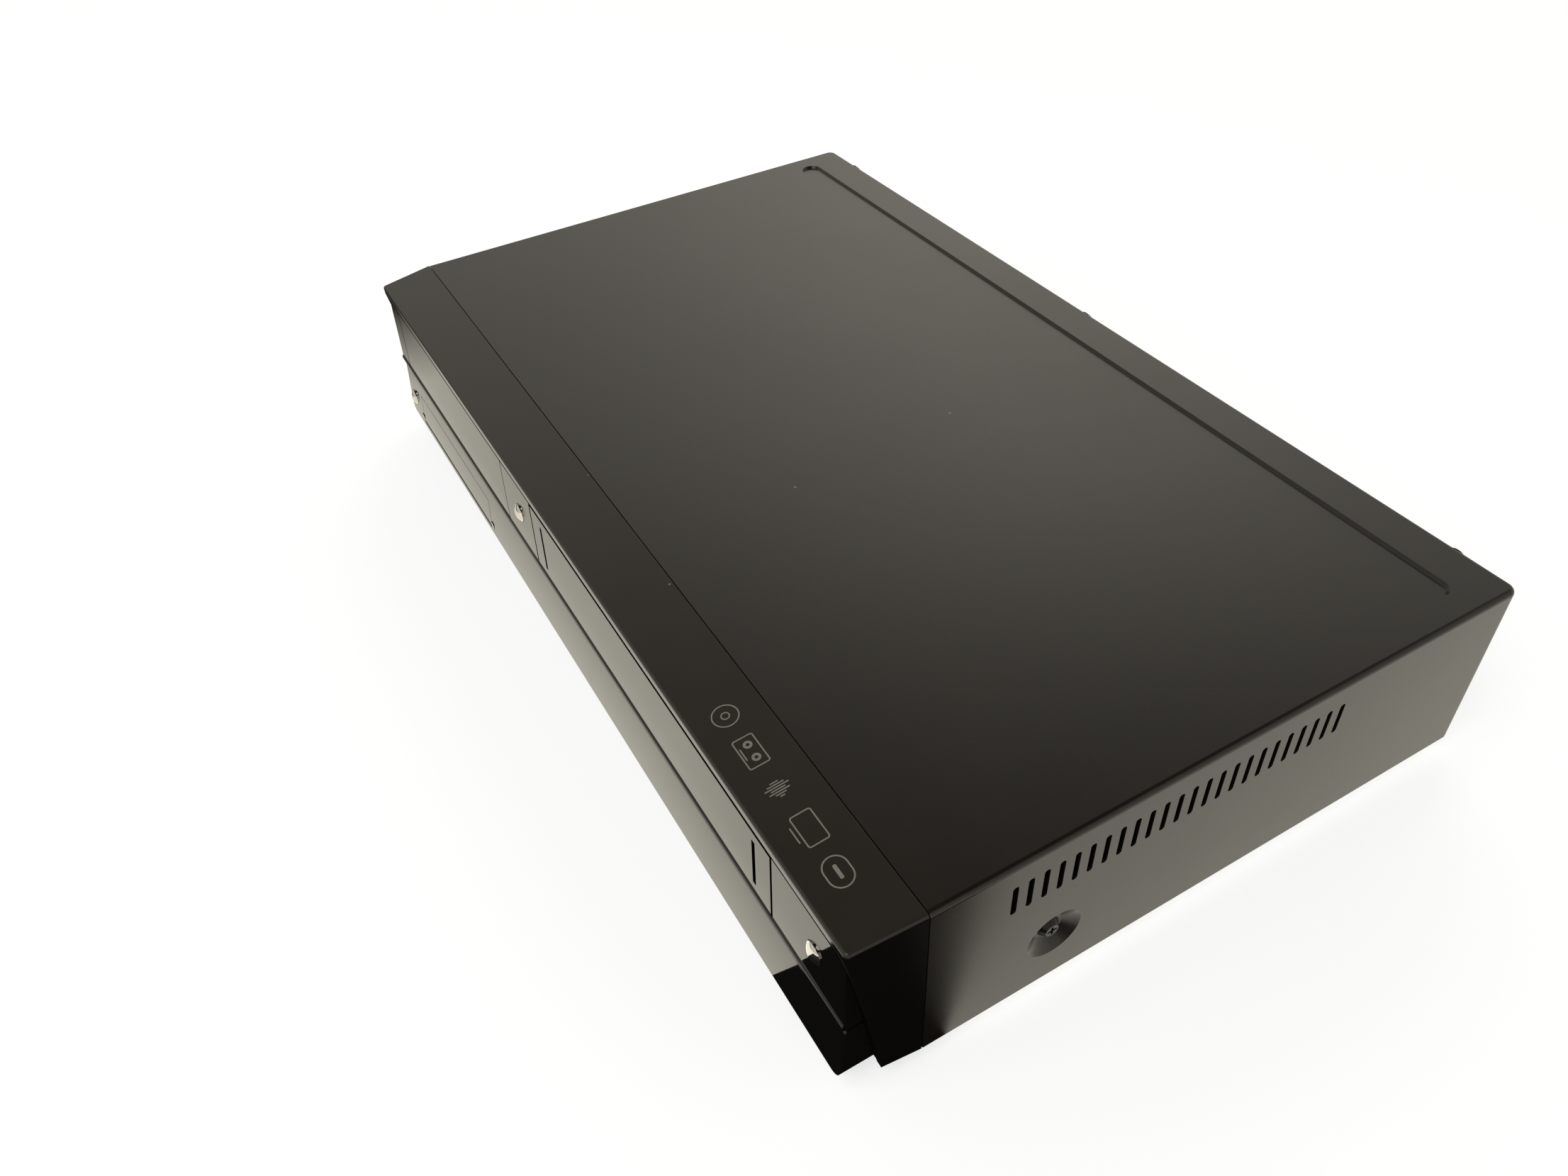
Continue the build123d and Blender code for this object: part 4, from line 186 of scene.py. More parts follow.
# grain: fine height for moulded or painted skin, and a slow blotch
def buildGrain():
    group, given, out = newGroup(
        "grain",
        [("Scale", 900.0), ("Blotch Scale", 12.0)],
        [("Height", "NodeSocketFloat"), ("Blotch", "NodeSocketFloat")],
    )
    coords = addNode(group, "ShaderNodeTexCoord")
    fine = addNode(group, "ShaderNodeTexNoise")
    fine.inputs["Detail"].default_value = 3.0
    link(group, coords.outputs["Object"], fine.inputs["Vector"])
    link(group, given.outputs["Scale"], fine.inputs["Scale"])
    link(group, fine.outputs["Fac"], out.inputs["Height"])
    slow = addNode(group, "ShaderNodeTexNoise")
    slow.inputs["Detail"].default_value = 5.0
    slow.inputs["Roughness"].default_value = 0.6
    link(group, coords.outputs["Object"], slow.inputs["Vector"])
    link(group, given.outputs["Blotch Scale"], slow.inputs["Scale"])
    link(group, slow.outputs["Fac"], out.inputs["Blotch"])
    return group


# brushed: long thin lines along X for rolled sheet, and cloudy plating
def buildBrushed():
    group, given, out = newGroup(
        "brushed",
        [("Lines", 700.0), ("Stretch", 0.02), ("Spangle", 90.0)],
        [("Line", "NodeSocketFloat"), ("Cloud", "NodeSocketFloat")],
    )
    coords = addNode(group, "ShaderNodeTexCoord")
    squeeze = addNode(group, "ShaderNodeCombineXYZ")
    link(group, given.outputs["Stretch"], squeeze.inputs[0])
    squeeze.inputs[1].default_value = 1.0
    squeeze.inputs[2].default_value = 1.0
    scaled = addNode(group, "ShaderNodeVectorMath", operation="MULTIPLY")
    link(group, coords.outputs["Object"], scaled.inputs[0])
    link(group, squeeze.outputs[0], scaled.inputs[1])
    lines = addNode(group, "ShaderNodeTexNoise")
    lines.inputs["Detail"].default_value = 3.0
    link(group, scaled.outputs[0], lines.inputs["Vector"])
    link(group, given.outputs["Lines"], lines.inputs["Scale"])
    link(group, lines.outputs["Fac"], out.inputs["Line"])
    cloud = addNode(group, "ShaderNodeTexVoronoi", feature="F1")
    link(group, coords.outputs["Object"], cloud.inputs["Vector"])
    link(group, given.outputs["Spangle"], cloud.inputs["Scale"])
    split = addNode(group, "ShaderNodeSeparateColor")
    link(group, cloud.outputs["Color"], split.inputs[0])
    link(group, split.outputs[0], out.inputs["Cloud"])
    return group


# dust and hairlines: small specks and a few fine scratches
def buildDust():
    group, given, out = newGroup(
        "dust",
        [("Speck Scale", 260.0), ("Speck Share", 0.03), ("Hairline Scale", 9.0)],
        [("Speck", "NodeSocketFloat"), ("Hairline", "NodeSocketFloat")],
    )
    coords = addNode(group, "ShaderNodeTexCoord")
    cells = addNode(group, "ShaderNodeTexVoronoi", feature="F1")
    link(group, coords.outputs["Object"], cells.inputs["Vector"])
    link(group, given.outputs["Speck Scale"], cells.inputs["Scale"])
    split = addNode(group, "ShaderNodeSeparateColor")
    link(group, cells.outputs["Color"], split.inputs[0])
    chosen = mathNode(group, "LESS_THAN", split.outputs[0], given.outputs["Speck Share"])
    near = mapRange(group, cells.outputs["Distance"], 0.16, 0.06)
    link(group, mathNode(group, "MULTIPLY", chosen, near, clamp=True), out.inputs["Speck"])
    turn = addNode(group, "ShaderNodeMapping")
    turn.inputs["Rotation"].default_value = (0.3, 0.2, 0.6)
    turn.inputs["Scale"].default_value = (1.0, 14.0, 14.0)
    link(group, coords.outputs["Object"], turn.inputs["Vector"])
    hair = addNode(group, "ShaderNodeTexNoise")
    hair.inputs["Detail"].default_value = 2.0
    hair.inputs["Distortion"].default_value = 0.8
    link(group, turn.outputs[0], hair.inputs["Vector"])
    link(group, given.outputs["Hairline Scale"], hair.inputs["Scale"])
    ridge = mathNode(group, "ABSOLUTE", mathNode(group, "SUBTRACT", hair.outputs["Fac"], 0.62))
    link(group, mapRange(group, ridge, 0.004, 0.0), out.inputs["Hairline"])
    return group


groups = {
    "edgeWearAndHighlight": buildEdgeWearAndHighlight(),
    "grain": buildGrain(),
    "brushed": buildBrushed(),
    "dust": buildDust(),
}


def useGroup(tree, name, **values):
    node = addNode(tree, "ShaderNodeGroup")
    node.node_tree = groups[name]
    for key, value in values.items():
        node.inputs[key].default_value = value
    return node


# one finish: base colour with blotches, grain bump, worn edges and painted edge highlights, dust, and
# painted shade on upright faces and in boxes
finishDefaults = {
    "colour": (0.02, 0.02, 0.02),
    "shift": (0.03, 0.03, 0.03),  # second colour of the slow blotches
    "roughness": (0.35, 0.42),  # least and most
    "metallic": 0.0,
    "specular": 0.5,
    "coat": 0.0,
    "coatRoughness": 0.05,
    "grain": 900.0,
    "blotch": 12.0,
    "bump": 0.0,  # metres of height
    "brushed": 0.0,  # depth of the brush lines, metres
    "brushedRough": 0.06,  # roughness the brush lines add or take
    "spangle": 0.0,  # scale of the plating's clouds
    "spangleShare": 0.5,
    "edge": None,  # colour of worn edges, and of the painted edge highlight where a finish uses it so
    "edgeShare": 0.5,
    "edgeRadius": 0.4 * mm,
    "speck": 0.0,
    "speckColour": (0.35, 0.34, 0.31),
    "speckRough": 0.4,
    "hairline": 0.0,
    "upright": 1.0,  # painted shade: share of the colour kept on upright faces, which are darkened to look unlit
    "shadows": (),  # boxes of painted shade: dull black where gaps and undercuts fall in shade, and where glossy faces show a dark reflection
    "shadowColour": (0.001, 0.001, 0.001),
    "polished": (),  # boxes of gloss
    "polish": 0.8,  # share of the roughness taken off there
}


# 1 inside any of the boxes; a box gives low and high for X, Y and Z
def boxMask(tree, boxes):
    coords = addNode(tree, "ShaderNodeTexCoord")
    split = addNode(tree, "ShaderNodeSeparateXYZ")
    link(tree, coords.outputs["Object"], split.inputs[0])
    total = None
    for box in boxes:
        inside = None
        for axis, ends in enumerate(box):
            for operation, end in zip(("GREATER_THAN", "LESS_THAN"), ends):
                test = mathNode(tree, operation, split.outputs[axis], end)
                inside = test if inside is None else mathNode(tree, "MULTIPLY", inside, test)
        total = inside if total is None else mathNode(tree, "MAXIMUM", total, inside)
    return total


def makeFinish(name, **changes):
    s = dict(finishDefaults, **changes)
    material = bpy.data.materials.new(name)
    material.use_nodes = True
    tree = material.node_tree
    shader = tree.nodes["Principled BSDF"]
    grain = useGroup(tree, "grain", **{"Scale": s["grain"], "Blotch Scale": s["blotch"]})
    blotch = mapRange(tree, grain.outputs["Blotch"], 0.35, 0.68)
    colour = mixColour(tree, blotch, s["colour"], s["shift"])
    rough = mapRange(tree, grain.outputs["Blotch"], 0.3, 0.7, s["roughness"][0], s["roughness"][1])
    height = grain.outputs["Height"]
    depth = s["bump"]
    if s["brushed"]:
        lines = useGroup(tree, "brushed", **{"Spangle": s["spangle"] or 90.0})
        height = lines.outputs["Line"]
        depth = s["brushed"]
        ripple = mapRange(tree, height, 0.3, 0.7, -s["brushedRough"], s["brushedRough"])
        rough = mathNode(tree, "ADD", rough, ripple)
        if s["spangle"]:
            cloud = mapRange(tree, lines.outputs["Cloud"], 0.0, 1.0, 0.0, s["spangleShare"])
            colour = mixColour(tree, cloud, colour, s["shift"])
    if s["hairline"] or s["speck"]:
        dust = useGroup(tree, "dust", **{"Speck Share": s["speck"]})
        if s["speck"]:
            colour = mixColour(tree, dust.outputs["Speck"], colour, s["speckColour"])
            dull = mathNode(tree, "MULTIPLY", dust.outputs["Speck"], s["speckRough"])
            rough = mathNode(tree, "ADD", rough, dull)
        if s["hairline"]:
            line = mathNode(tree, "MULTIPLY", dust.outputs["Hairline"], s["hairline"])
            rough = mathNode(tree, "ADD", rough, line)
    # edge colour: real wear on most finishes, a painted highlight on the fascia's edges
    if s["edge"]:
        wearAndHighlight = useGroup(tree, "edgeWearAndHighlight", **{"Radius": s["edgeRadius"]})
        share = mathNode(tree, "MULTIPLY", wearAndHighlight.outputs["Mask"], s["edgeShare"])
        colour = mixColour(tree, share, colour, s["edge"])
    shader.inputs["Specular IOR Level"].default_value = s["specular"]
    # painted shade: faces turned sideways get a darker colour
    if s["upright"] < 1.0:
        geometry = addNode(tree, "ShaderNodeNewGeometry")
        facing = addNode(tree, "ShaderNodeSeparateXYZ")
        link(tree, geometry.outputs["Normal"], facing.inputs[0])
        shadedShare = mapRange(tree, facing.outputs[2], 0.25, 0.85, s["upright"], 1.0)
        colour = mixColour(tree, 1.0, colour, shadedShare, "MULTIPLY")
    if s["polished"]:
        gloss = mathNode(tree, "MULTIPLY", boxMask(tree, s["polished"]), s["polish"])
        rough = mathNode(tree, "MULTIPLY", rough, mathNode(tree, "SUBTRACT", 1.0, gloss))
    # painted shade: black colour, full roughness and no specular inside the boxes
    if s["shadows"]:
        paintedShade = boxMask(tree, s["shadows"])
        colour = mixColour(tree, paintedShade, colour, s["shadowColour"])
        rough = mathNode(tree, "MAXIMUM", rough, paintedShade)
        shine = mapRange(tree, paintedShade, 0.0, 1.0, s["specular"], 0.0)
        link(tree, shine, shader.inputs["Specular IOR Level"])
    link(tree, colour, shader.inputs["Base Color"])
    link(tree, rough, shader.inputs["Roughness"])
    shader.inputs["Metallic"].default_value = s["metallic"]
    shader.inputs["Coat Weight"].default_value = s["coat"]
    shader.inputs["Coat Roughness"].default_value = s["coatRoughness"]
    if depth:
        bump = addNode(tree, "ShaderNodeBump")
        bump.inputs["Distance"].default_value = depth
        link(tree, height, bump.inputs["Height"])
        link(tree, bump.outputs[0], shader.inputs["Normal"])
    return material


# lines of the front: the polished lip, and painted shade in the gaps, under the lip and on the belt;
# heights are drops from the top of the cover unless a note says otherwise
lineSettings = {
    "ends": (-0.25, 0.25),  # past both ends of the casing
    "ahead": -0.2,  # well before the front
    "behind": 4.0 * mm,  # from the lip to a place behind every glossy face
    "lipDepth": 1.0 * mm,
    "lip": (6.1 * mm, 4.0 * mm),
    "underLip": (10.9 * mm, 6.0 * mm),
    "overCassette": (11.7 * mm, 6.0 * mm),
    "beltEnds": (-0.195, 0.20),
    "belt": (43.4 * mm, 41.8 * mm),
    "doorHalf": 95.95 * mm,  # to the edges of its plate; the pins reach further
    "doorLine": 0.6 * mm,  # half of its width
    "door": (39.9 * mm, 0.0),
    "slotInset": 10.6 * mm,  # from the edges of the door
    "slotLine": 1.0 * mm,  # half of its width
    "slot": (36.4 * mm, 15.6 * mm),
}


def heights(drops):
    return tuple(topZ - drop for drop in drops)


def frontBox(s, sides, drops):
    return (sides, (s["ahead"], lipY + s["behind"]), heights(drops))


# gives the box of the polished lip, then the boxes of painted shade and painted dark reflection
def findLines(s):
    doorLow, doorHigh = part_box("cassette_door")
    middle = (doorLow.x + doorHigh.x) / 2
    doorSides = (middle - s["doorHalf"], middle + s["doorHalf"])
    slots = (doorSides[0] + s["slotInset"], doorSides[1] - s["slotInset"])
    lip = (s["ends"], (lipY - s["lipDepth"], lipY + s["lipDepth"]), heights(s["lip"]))
    paintedShade = [
        frontBox(s, s["ends"], s["underLip"]),
        frontBox(s, doorSides, s["overCassette"]),
        frontBox(s, s["beltEnds"], s["belt"]),
    ]
    for places, half, drops in ((doorSides, "doorLine", "door"), (slots, "slotLine", "slot")):
        paintedShade += [frontBox(s, (x - s[half], x + s[half]), s[drops]) for x in places]
    return lip, paintedShade


lipBox, paintedShadeBoxes = findLines(lineSettings)

finishes = {
    "coverPaint": makeFinish(
        "coverPaint",
        colour=(0.0095, 0.0075, 0.0052),
        shift=(0.0125, 0.0098, 0.0068),
        roughness=(0.23, 0.29),
        grain=1400.0,
        blotch=7.0,
        bump=0.012 * mm,
        edge=(0.05, 0.045, 0.04),
        edgeShare=0.25,
        speck=0.003,
        hairline=0.03,
    ),
    "fasciaPlastic": makeFinish(
        "fasciaPlastic",
        colour=(0.023, 0.020, 0.015),
        shift=(0.027, 0.024, 0.018),
        roughness=(0.27, 0.33),
        grain=2200.0,
        blotch=9.0,
        bump=0.012 * mm,
        # painted highlight along the fascia's rounded edges
        edge=(0.17, 0.155, 0.13),
        edgeShare=0.45,
        speck=0.003,
        hairline=0.03,
        # painted shade: the fascia's sides keep 0.15 of their colour
        upright=0.15,
        polished=(lipBox,),
    ),
    "glossBlack": makeFinish(
        "glossBlack",
        colour=(0.0035, 0.0033, 0.003),
        shift=(0.005, 0.0048, 0.0042),
        roughness=(0.035, 0.075),
        grain=500.0,
        blotch=16.0,
        edge=(0.03, 0.03, 0.028),
        edgeShare=0.3,
        speck=0.006,
        hairline=0.03,
        # painted shade in the door gaps and slots, and painted dark reflection under the lip and on the
        # belt
        shadows=paintedShadeBoxes,
    ),
    "buttonChrome": makeFinish(
        "buttonChrome",
        colour=(0.72, 0.70, 0.66),
        shift=(0.80, 0.78, 0.74),
        roughness=(0.04, 0.10),
        metallic=1.0,
        blotch=90.0,
        edge=(0.9, 0.88, 0.84),
    ),
    "screwBlack": makeFinish(
        "screwBlack",
        colour=(0.02, 0.02, 0.022),
        shift=(0.035, 0.034, 0.033),
        roughness=(0.25, 0.40),
        metallic=0.6,
        blotch=300.0,
        bump=0.02 * mm,
        grain=2600.0,
        edge=(0.32, 0.31, 0.29),
        edgeShare=0.5,
        edgeRadius=0.2 * mm,
    ),
    "panZinc": makeFinish(
        "panZinc",
        colour=(0.55, 0.56, 0.57),
        shift=(0.66, 0.67, 0.67),
        roughness=(0.30, 0.44),
        metallic=1.0,
        brushed=0.01 * mm,
        spangle=120.0,
        edge=(0.8, 0.8, 0.8),
        edgeShare=0.4,
    ),
    "deckSteel": makeFinish(
        "deckSteel",
        colour=(0.60, 0.59, 0.54),
        shift=(0.70, 0.69, 0.63),
        roughness=(0.26, 0.38),
        metallic=1.0,
        brushed=0.008 * mm,
        spangle=200.0,
        edge=(0.85, 0.84, 0.80),
        edgeShare=0.4,
    ),
    "footPlastic": makeFinish(
        "footPlastic",
        colour=(0.014, 0.014, 0.014),
        shift=(0.022, 0.022, 0.021),
        roughness=(0.45, 0.6),
        bump=0.05 * mm,
        grain=1500.0,
        edge=(0.06, 0.06, 0.058),
    ),
    "padRubber": makeFinish(
        "padRubber",
        colour=(0.045, 0.043, 0.040),
        shift=(0.065, 0.062, 0.058),
        roughness=(0.75, 0.9),
        bump=0.08 * mm,
        grain=1200.0,
    ),
    "trayPlastic": makeFinish(
        "trayPlastic",
        colour=(0.018, 0.018, 0.019),
        shift=(0.024, 0.024, 0.025),
        roughness=(0.42, 0.52),
        bump=0.03 * mm,
        grain=1900.0,
        edge=(0.07, 0.07, 0.07),
        edgeShare=0.4,
        speck=0.006,
    ),
    "framePlastic": makeFinish(
        "framePlastic",
        colour=(0.030, 0.030, 0.031),
        shift=(0.042, 0.042, 0.043),
        roughness=(0.45, 0.58),
        bump=0.03 * mm,
        grain=1500.0,
        edge=(0.10, 0.10, 0.10),
    ),
    "gearAcetal": makeFinish(
        "gearAcetal",
        colour=(0.74, 0.71, 0.62),
        shift=(0.80, 0.78, 0.70),
        roughness=(0.32, 0.42),
        bump=0.01 * mm,
        grain=1000.0,
        edge=(0.86, 0.84, 0.78),
    ),
    "beltRubber": makeFinish(
        "beltRubber",
        colour=(0.012, 0.012, 0.012),
        shift=(0.022, 0.021, 0.020),
        roughness=(0.55, 0.7),
        bump=0.03 * mm,
        grain=1800.0,
    ),
    "motorSteel": makeFinish(
        "motorSteel",
        colour=(0.52, 0.52, 0.51),
        shift=(0.62, 0.62, 0.60),
        roughness=(0.28, 0.4),
        metallic=1.0,
        brushed=0.012 * mm,
        edge=(0.8, 0.8, 0.78),
    ),
    "springSteel": makeFinish(
        "springSteel",
        colour=(0.58, 0.57, 0.55),
        shift=(0.66, 0.65, 0.62),
        roughness=(0.16, 0.26),
        metallic=1.0,
        brushed=0.004 * mm,
        edge=(0.8, 0.8, 0.78),
    ),
    "pickupMetal": makeFinish(
        "pickupMetal",
        colour=(0.42, 0.42, 0.43),
        shift=(0.52, 0.52, 0.53),
        roughness=(0.42, 0.55),
        metallic=0.9,
        bump=0.03 * mm,
        grain=1300.0,
        edge=(0.7, 0.7, 0.7),
    ),
    "drumAluminium": makeFinish(
        "drumAluminium",
        colour=(0.76, 0.76, 0.76),
        shift=(0.82, 0.82, 0.82),
        roughness=(0.12, 0.22),
        metallic=1.0,
        brushed=0.004 * mm,
        edge=(0.92, 0.92, 0.92),
    ),
    "rollerRubber": makeFinish(
        "rollerRubber",
        colour=(0.018, 0.018, 0.018),
        shift=(0.028, 0.027, 0.026),
        roughness=(0.6, 0.75),
        bump=0.02 * mm,
        grain=1600.0,
    ),
    "socketBlack": makeFinish(
        "socketBlack",
        colour=(0.016, 0.016, 0.016),
        shift=(0.024, 0.024, 0.023),
        roughness=(0.34, 0.46),
        bump=0.02 * mm,
        grain=1500.0,
        edge=(0.08, 0.08, 0.078),
    ),
    "socketMetal": makeFinish(
        "socketMetal",
        colour=(0.66, 0.65, 0.62),
        shift=(0.74, 0.73, 0.70),
        roughness=(0.16, 0.28),
        metallic=1.0,
        brushed=0.006 * mm,
        edge=(0.85, 0.84, 0.82),
    ),
}
print("stage: plain finishes made")


# circuit boards: varnished sheet with copper tracks, and dark parts above it
boardSettings = {
    "main_board": {"sheet": (0.030, 0.115, 0.050), "track": (0.055, 0.19, 0.085), "lift": 1.65 * mm},
    "disc_board": {"sheet": (0.028, 0.110, 0.055), "track": (0.050, 0.18, 0.090), "lift": 1.65 * mm},
    "power_board": {"sheet": (0.30, 0.20, 0.10), "track": (0.40, 0.29, 0.16), "lift": 1.65 * mm},
    "display_board": {"sheet": (0.030, 0.115, 0.050), "track": (0.055, 0.19, 0.085), "lift": None},
    "switch_boards": {"sheet": (0.30, 0.20, 0.10), "track": (0.40, 0.29, 0.16), "lift": None},
}


def makeBoardFinish(node, settings):
    material = bpy.data.materials.new(node + "Finish")
    material.use_nodes = True
    tree = material.node_tree
    shader = tree.nodes["Principled BSDF"]
    coords = addNode(tree, "ShaderNodeTexCoord")
    tracks = addNode(tree, "ShaderNodeTexBrick")
    tracks.inputs["Scale"].default_value = 150.0
    tracks.inputs["Mortar Size"].default_value = 0.035
    tracks.inputs["Brick Width"].default_value = 1.3
    tracks.inputs["Row Height"].default_value = 0.42
    wander = addNode(tree, "ShaderNodeTexNoise")
    wander.inputs["Scale"].default_value = 30.0
    link(tree, coords.outputs["Object"], wander.inputs["Vector"])
    link(tree, coords.outputs["Object"], tracks.inputs["Vector"])
    shown = mathNode(tree, "GREATER_THAN", wander.outputs["Fac"], 0.47)
    copper = mathNode(tree, "MULTIPLY", tracks.outputs["Fac"], shown)
    colour = mixColour(tree, copper, settings["sheet"], settings["track"])
    grain = useGroup(tree, "grain", **{"Scale": 700.0, "Blotch Scale": 20.0})
    rough = mapRange(tree, grain.outputs["Blotch"], 0.3, 0.7, 0.28, 0.42)
    if settings["lift"]:
        split = addNode(tree, "ShaderNodeSeparateXYZ")
        link(tree, coords.outputs["Object"], split.inputs[0])
        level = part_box(node)[0].z + settings["lift"]
        raised = mathNode(tree, "GREATER_THAN", split.outputs[2], level)
        colour = mixColour(tree, raised, colour, (0.022, 0.022, 0.023))
        rough = mathNode(tree, "ADD", rough, mathNode(tree, "MULTIPLY", raised, 0.2))
    link(tree, colour, shader.inputs["Base Color"])
    link(tree, rough, shader.inputs["Roughness"])
    bump = addNode(tree, "ShaderNodeBump")
    bump.inputs["Distance"].default_value = 0.03 * mm
    fine = mathNode(tree, "MULTIPLY", grain.outputs["Height"], 0.3)
    link(tree, mathNode(tree, "ADD", copper, fine), bump.inputs["Height"])
    link(tree, bump.outputs[0], shader.inputs["Normal"])
    return material


# transformer: yellow tape between dark ferrite halves
def makeTransformerFinish():
    material = bpy.data.materials.new("transformerFinish")
    material.use_nodes = True
    tree = material.node_tree
    shader = tree.nodes["Principled BSDF"]
    low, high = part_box("power_transformer")
    coords = addNode(tree, "ShaderNodeTexCoord")
    split = addNode(tree, "ShaderNodeSeparateXYZ")
    link(tree, coords.outputs["Object"], split.inputs[0])
    middle = (low.z + high.z) / 2
    away = mathNode(tree, "ABSOLUTE", mathNode(tree, "SUBTRACT", split.outputs[2], middle))
    taped = mathNode(tree, "LESS_THAN", away, 5 * mm)
    grain = useGroup(tree, "grain", **{"Scale": 500.0, "Blotch Scale": 40.0})
    ferrite = mixColour(tree, grain.outputs["Blotch"], (0.02, 0.02, 0.021), (0.04, 0.04, 0.042))
    tape = mixColour(tree, grain.outputs["Blotch"], (0.62, 0.46, 0.06), (0.72, 0.56, 0.10))
    link(tree, mixColour(tree, taped, ferrite, tape), shader.inputs["Base Color"])
    link(tree, mapRange(tree, grain.outputs["Blotch"], 0.3, 0.7, 0.3, 0.5), shader.inputs["Roughness"])
    bump = addNode(tree, "ShaderNodeBump")
    bump.inputs["Distance"].default_value = 0.05 * mm
    link(tree, grain.outputs["Height"], bump.inputs["Height"])
    link(tree, bump.outputs[0], shader.inputs["Normal"])
    return material


# display tube: dark glass over a grey grid
def makeTubeFinish():
    material = bpy.data.materials.new("displayTubeFinish")
    material.use_nodes = True
    tree = material.node_tree
    shader = tree.nodes["Principled BSDF"]
    coords = addNode(tree, "ShaderNodeTexCoord")
    wires = addNode(tree, "ShaderNodeTexWave", wave_type="BANDS", bands_direction="X")
    wires.inputs["Scale"].default_value = 260.0
    link(tree, coords.outputs["Object"], wires.inputs["Vector"])
    colour = mixColour(tree, wires.outputs["Fac"], (0.02, 0.03, 0.03), (0.05, 0.065, 0.062))
    link(tree, colour, shader.inputs["Base Color"])
    grain = useGroup(tree, "grain", **{"Scale": 400.0, "Blotch Scale": 30.0})
    link(tree, mapRange(tree, grain.outputs["Blotch"], 0.3, 0.7, 0.03, 0.08), shader.inputs["Roughness"])
    shader.inputs["Coat Weight"].default_value = 1.0
    shader.inputs["Coat Roughness"].default_value = 0.02
    return material


slotFinish = {
    "cover_steel": "coverPaint",
    "pan_steel": "panZinc",
    "fascia_black": "fasciaPlastic",
    "gloss_black": "glossBlack",
    "button_chrome": "buttonChrome",
    "screw_black": "screwBlack",
    "foot_plastic": "footPlastic",
    "pad_rubber": "padRubber",
    "tray_plastic": "trayPlastic",
    "frame_plastic": "framePlastic",
    "gear_plastic": "gearAcetal",
    "belt_rubber": "beltRubber",
    "motor_steel": "motorSteel",
    "spring_steel": "springSteel",
    "pickup_metal": "pickupMetal",
    "deck_steel": "deckSteel",
    "drum_aluminium": "drumAluminium",
    "roller_rubber": "rollerRubber",
    "socket_black": "socketBlack",
    "socket_metal": "socketMetal",
}


def dress(node, material):
    mesh = nodes[node].data
    mesh.materials.clear()
    mesh.materials.append(material)


for part in frame["record"]["subparts"]:
    name = part["node"]
    if name in boardSettings:
        dress(name, makeBoardFinish(name, boardSettings[name]))
    elif name == "power_transformer":
        dress(name, makeTransformerFinish())
    elif name == "display_tube":
        dress(name, makeTubeFinish())
    else:
        dress(name, finishes[slotFinish[part["material_slot"]]])
print("stage: every packed piece has its finish")


# floor, surroundings and lamps
stageSettings = {
    "floorSize": 12.0,
    "floorGrey": 0.80,
    "floorGlow": 0.66,  # lifts the pale floor to white for the camera
    "floorTint": (0.96, 0.985, 1.0),
    "mirrorGlow": (0.93, 0.885, 0.76),  # the floor as gloss shows it
    "mirrorBesideX": (-0.12, 0.06, 1.0, 1.28),  # brighter toward the near end of the front
    "mirrorCloseY": (-0.150, -0.138, 0.95, 1.22),  # brighter close to the foot of the front
    "mirrorEndX": (-0.335, -0.245, 0.08, 1.0),  # dark past the far end
    "mirrorSide": 1.08,  # beside and behind the casing
    "skyWarm": (1.0, 0.955, 0.84),
    # brightness by the sine of the height
    "skyStops": ((0.0, 0.64), (0.60, 0.65), (0.66, 0.48), (0.71, 0.10), (0.77, 0.02), (1.0, 0.02)),
    "softboxWay": (139, 31),  # azimuth and height of a soft white window
    "softboxSpread": 0.046,  # square of its width, radians
    "softboxGlow": 1.0,
    "keyWay": (-75, 58),  # azimuth and height of the lamp
    "keyFar": 2.6,
    "keySize": 1.8,
    "keyPower": 16.0,
    "lampColour": (1.0, 0.985, 0.955),
}


# how bright each spot of the floor looks in glossy faces
def mirrorLevel(tree, s):
    coords = addNode(tree, "ShaderNodeTexCoord")
    split = addNode(tree, "ShaderNodeSeparateXYZ")
    link(tree, coords.outputs["Object"], split.inputs[0])
    x, y = split.outputs[0], split.outputs[1]
    beside = mapRange(tree, x, *s["mirrorBesideX"])
    close = mapRange(tree, y, *s["mirrorCloseY"])
    end = mapRange(tree, x, *s["mirrorEndX"])
    before = mathNode(tree, "MULTIPLY", mathNode(tree, "MULTIPLY", beside, close), end)
    inFront = mathNode(tree, "LESS_THAN", y, lipY)
    rest = mathNode(tree, "SUBTRACT", 1.0, inFront)
    level = mathNode(tree, "MULTIPLY", before, inFront)
    return mathNode(tree, "ADD", level, mathNode(tree, "MULTIPLY", rest, s["mirrorSide"]))


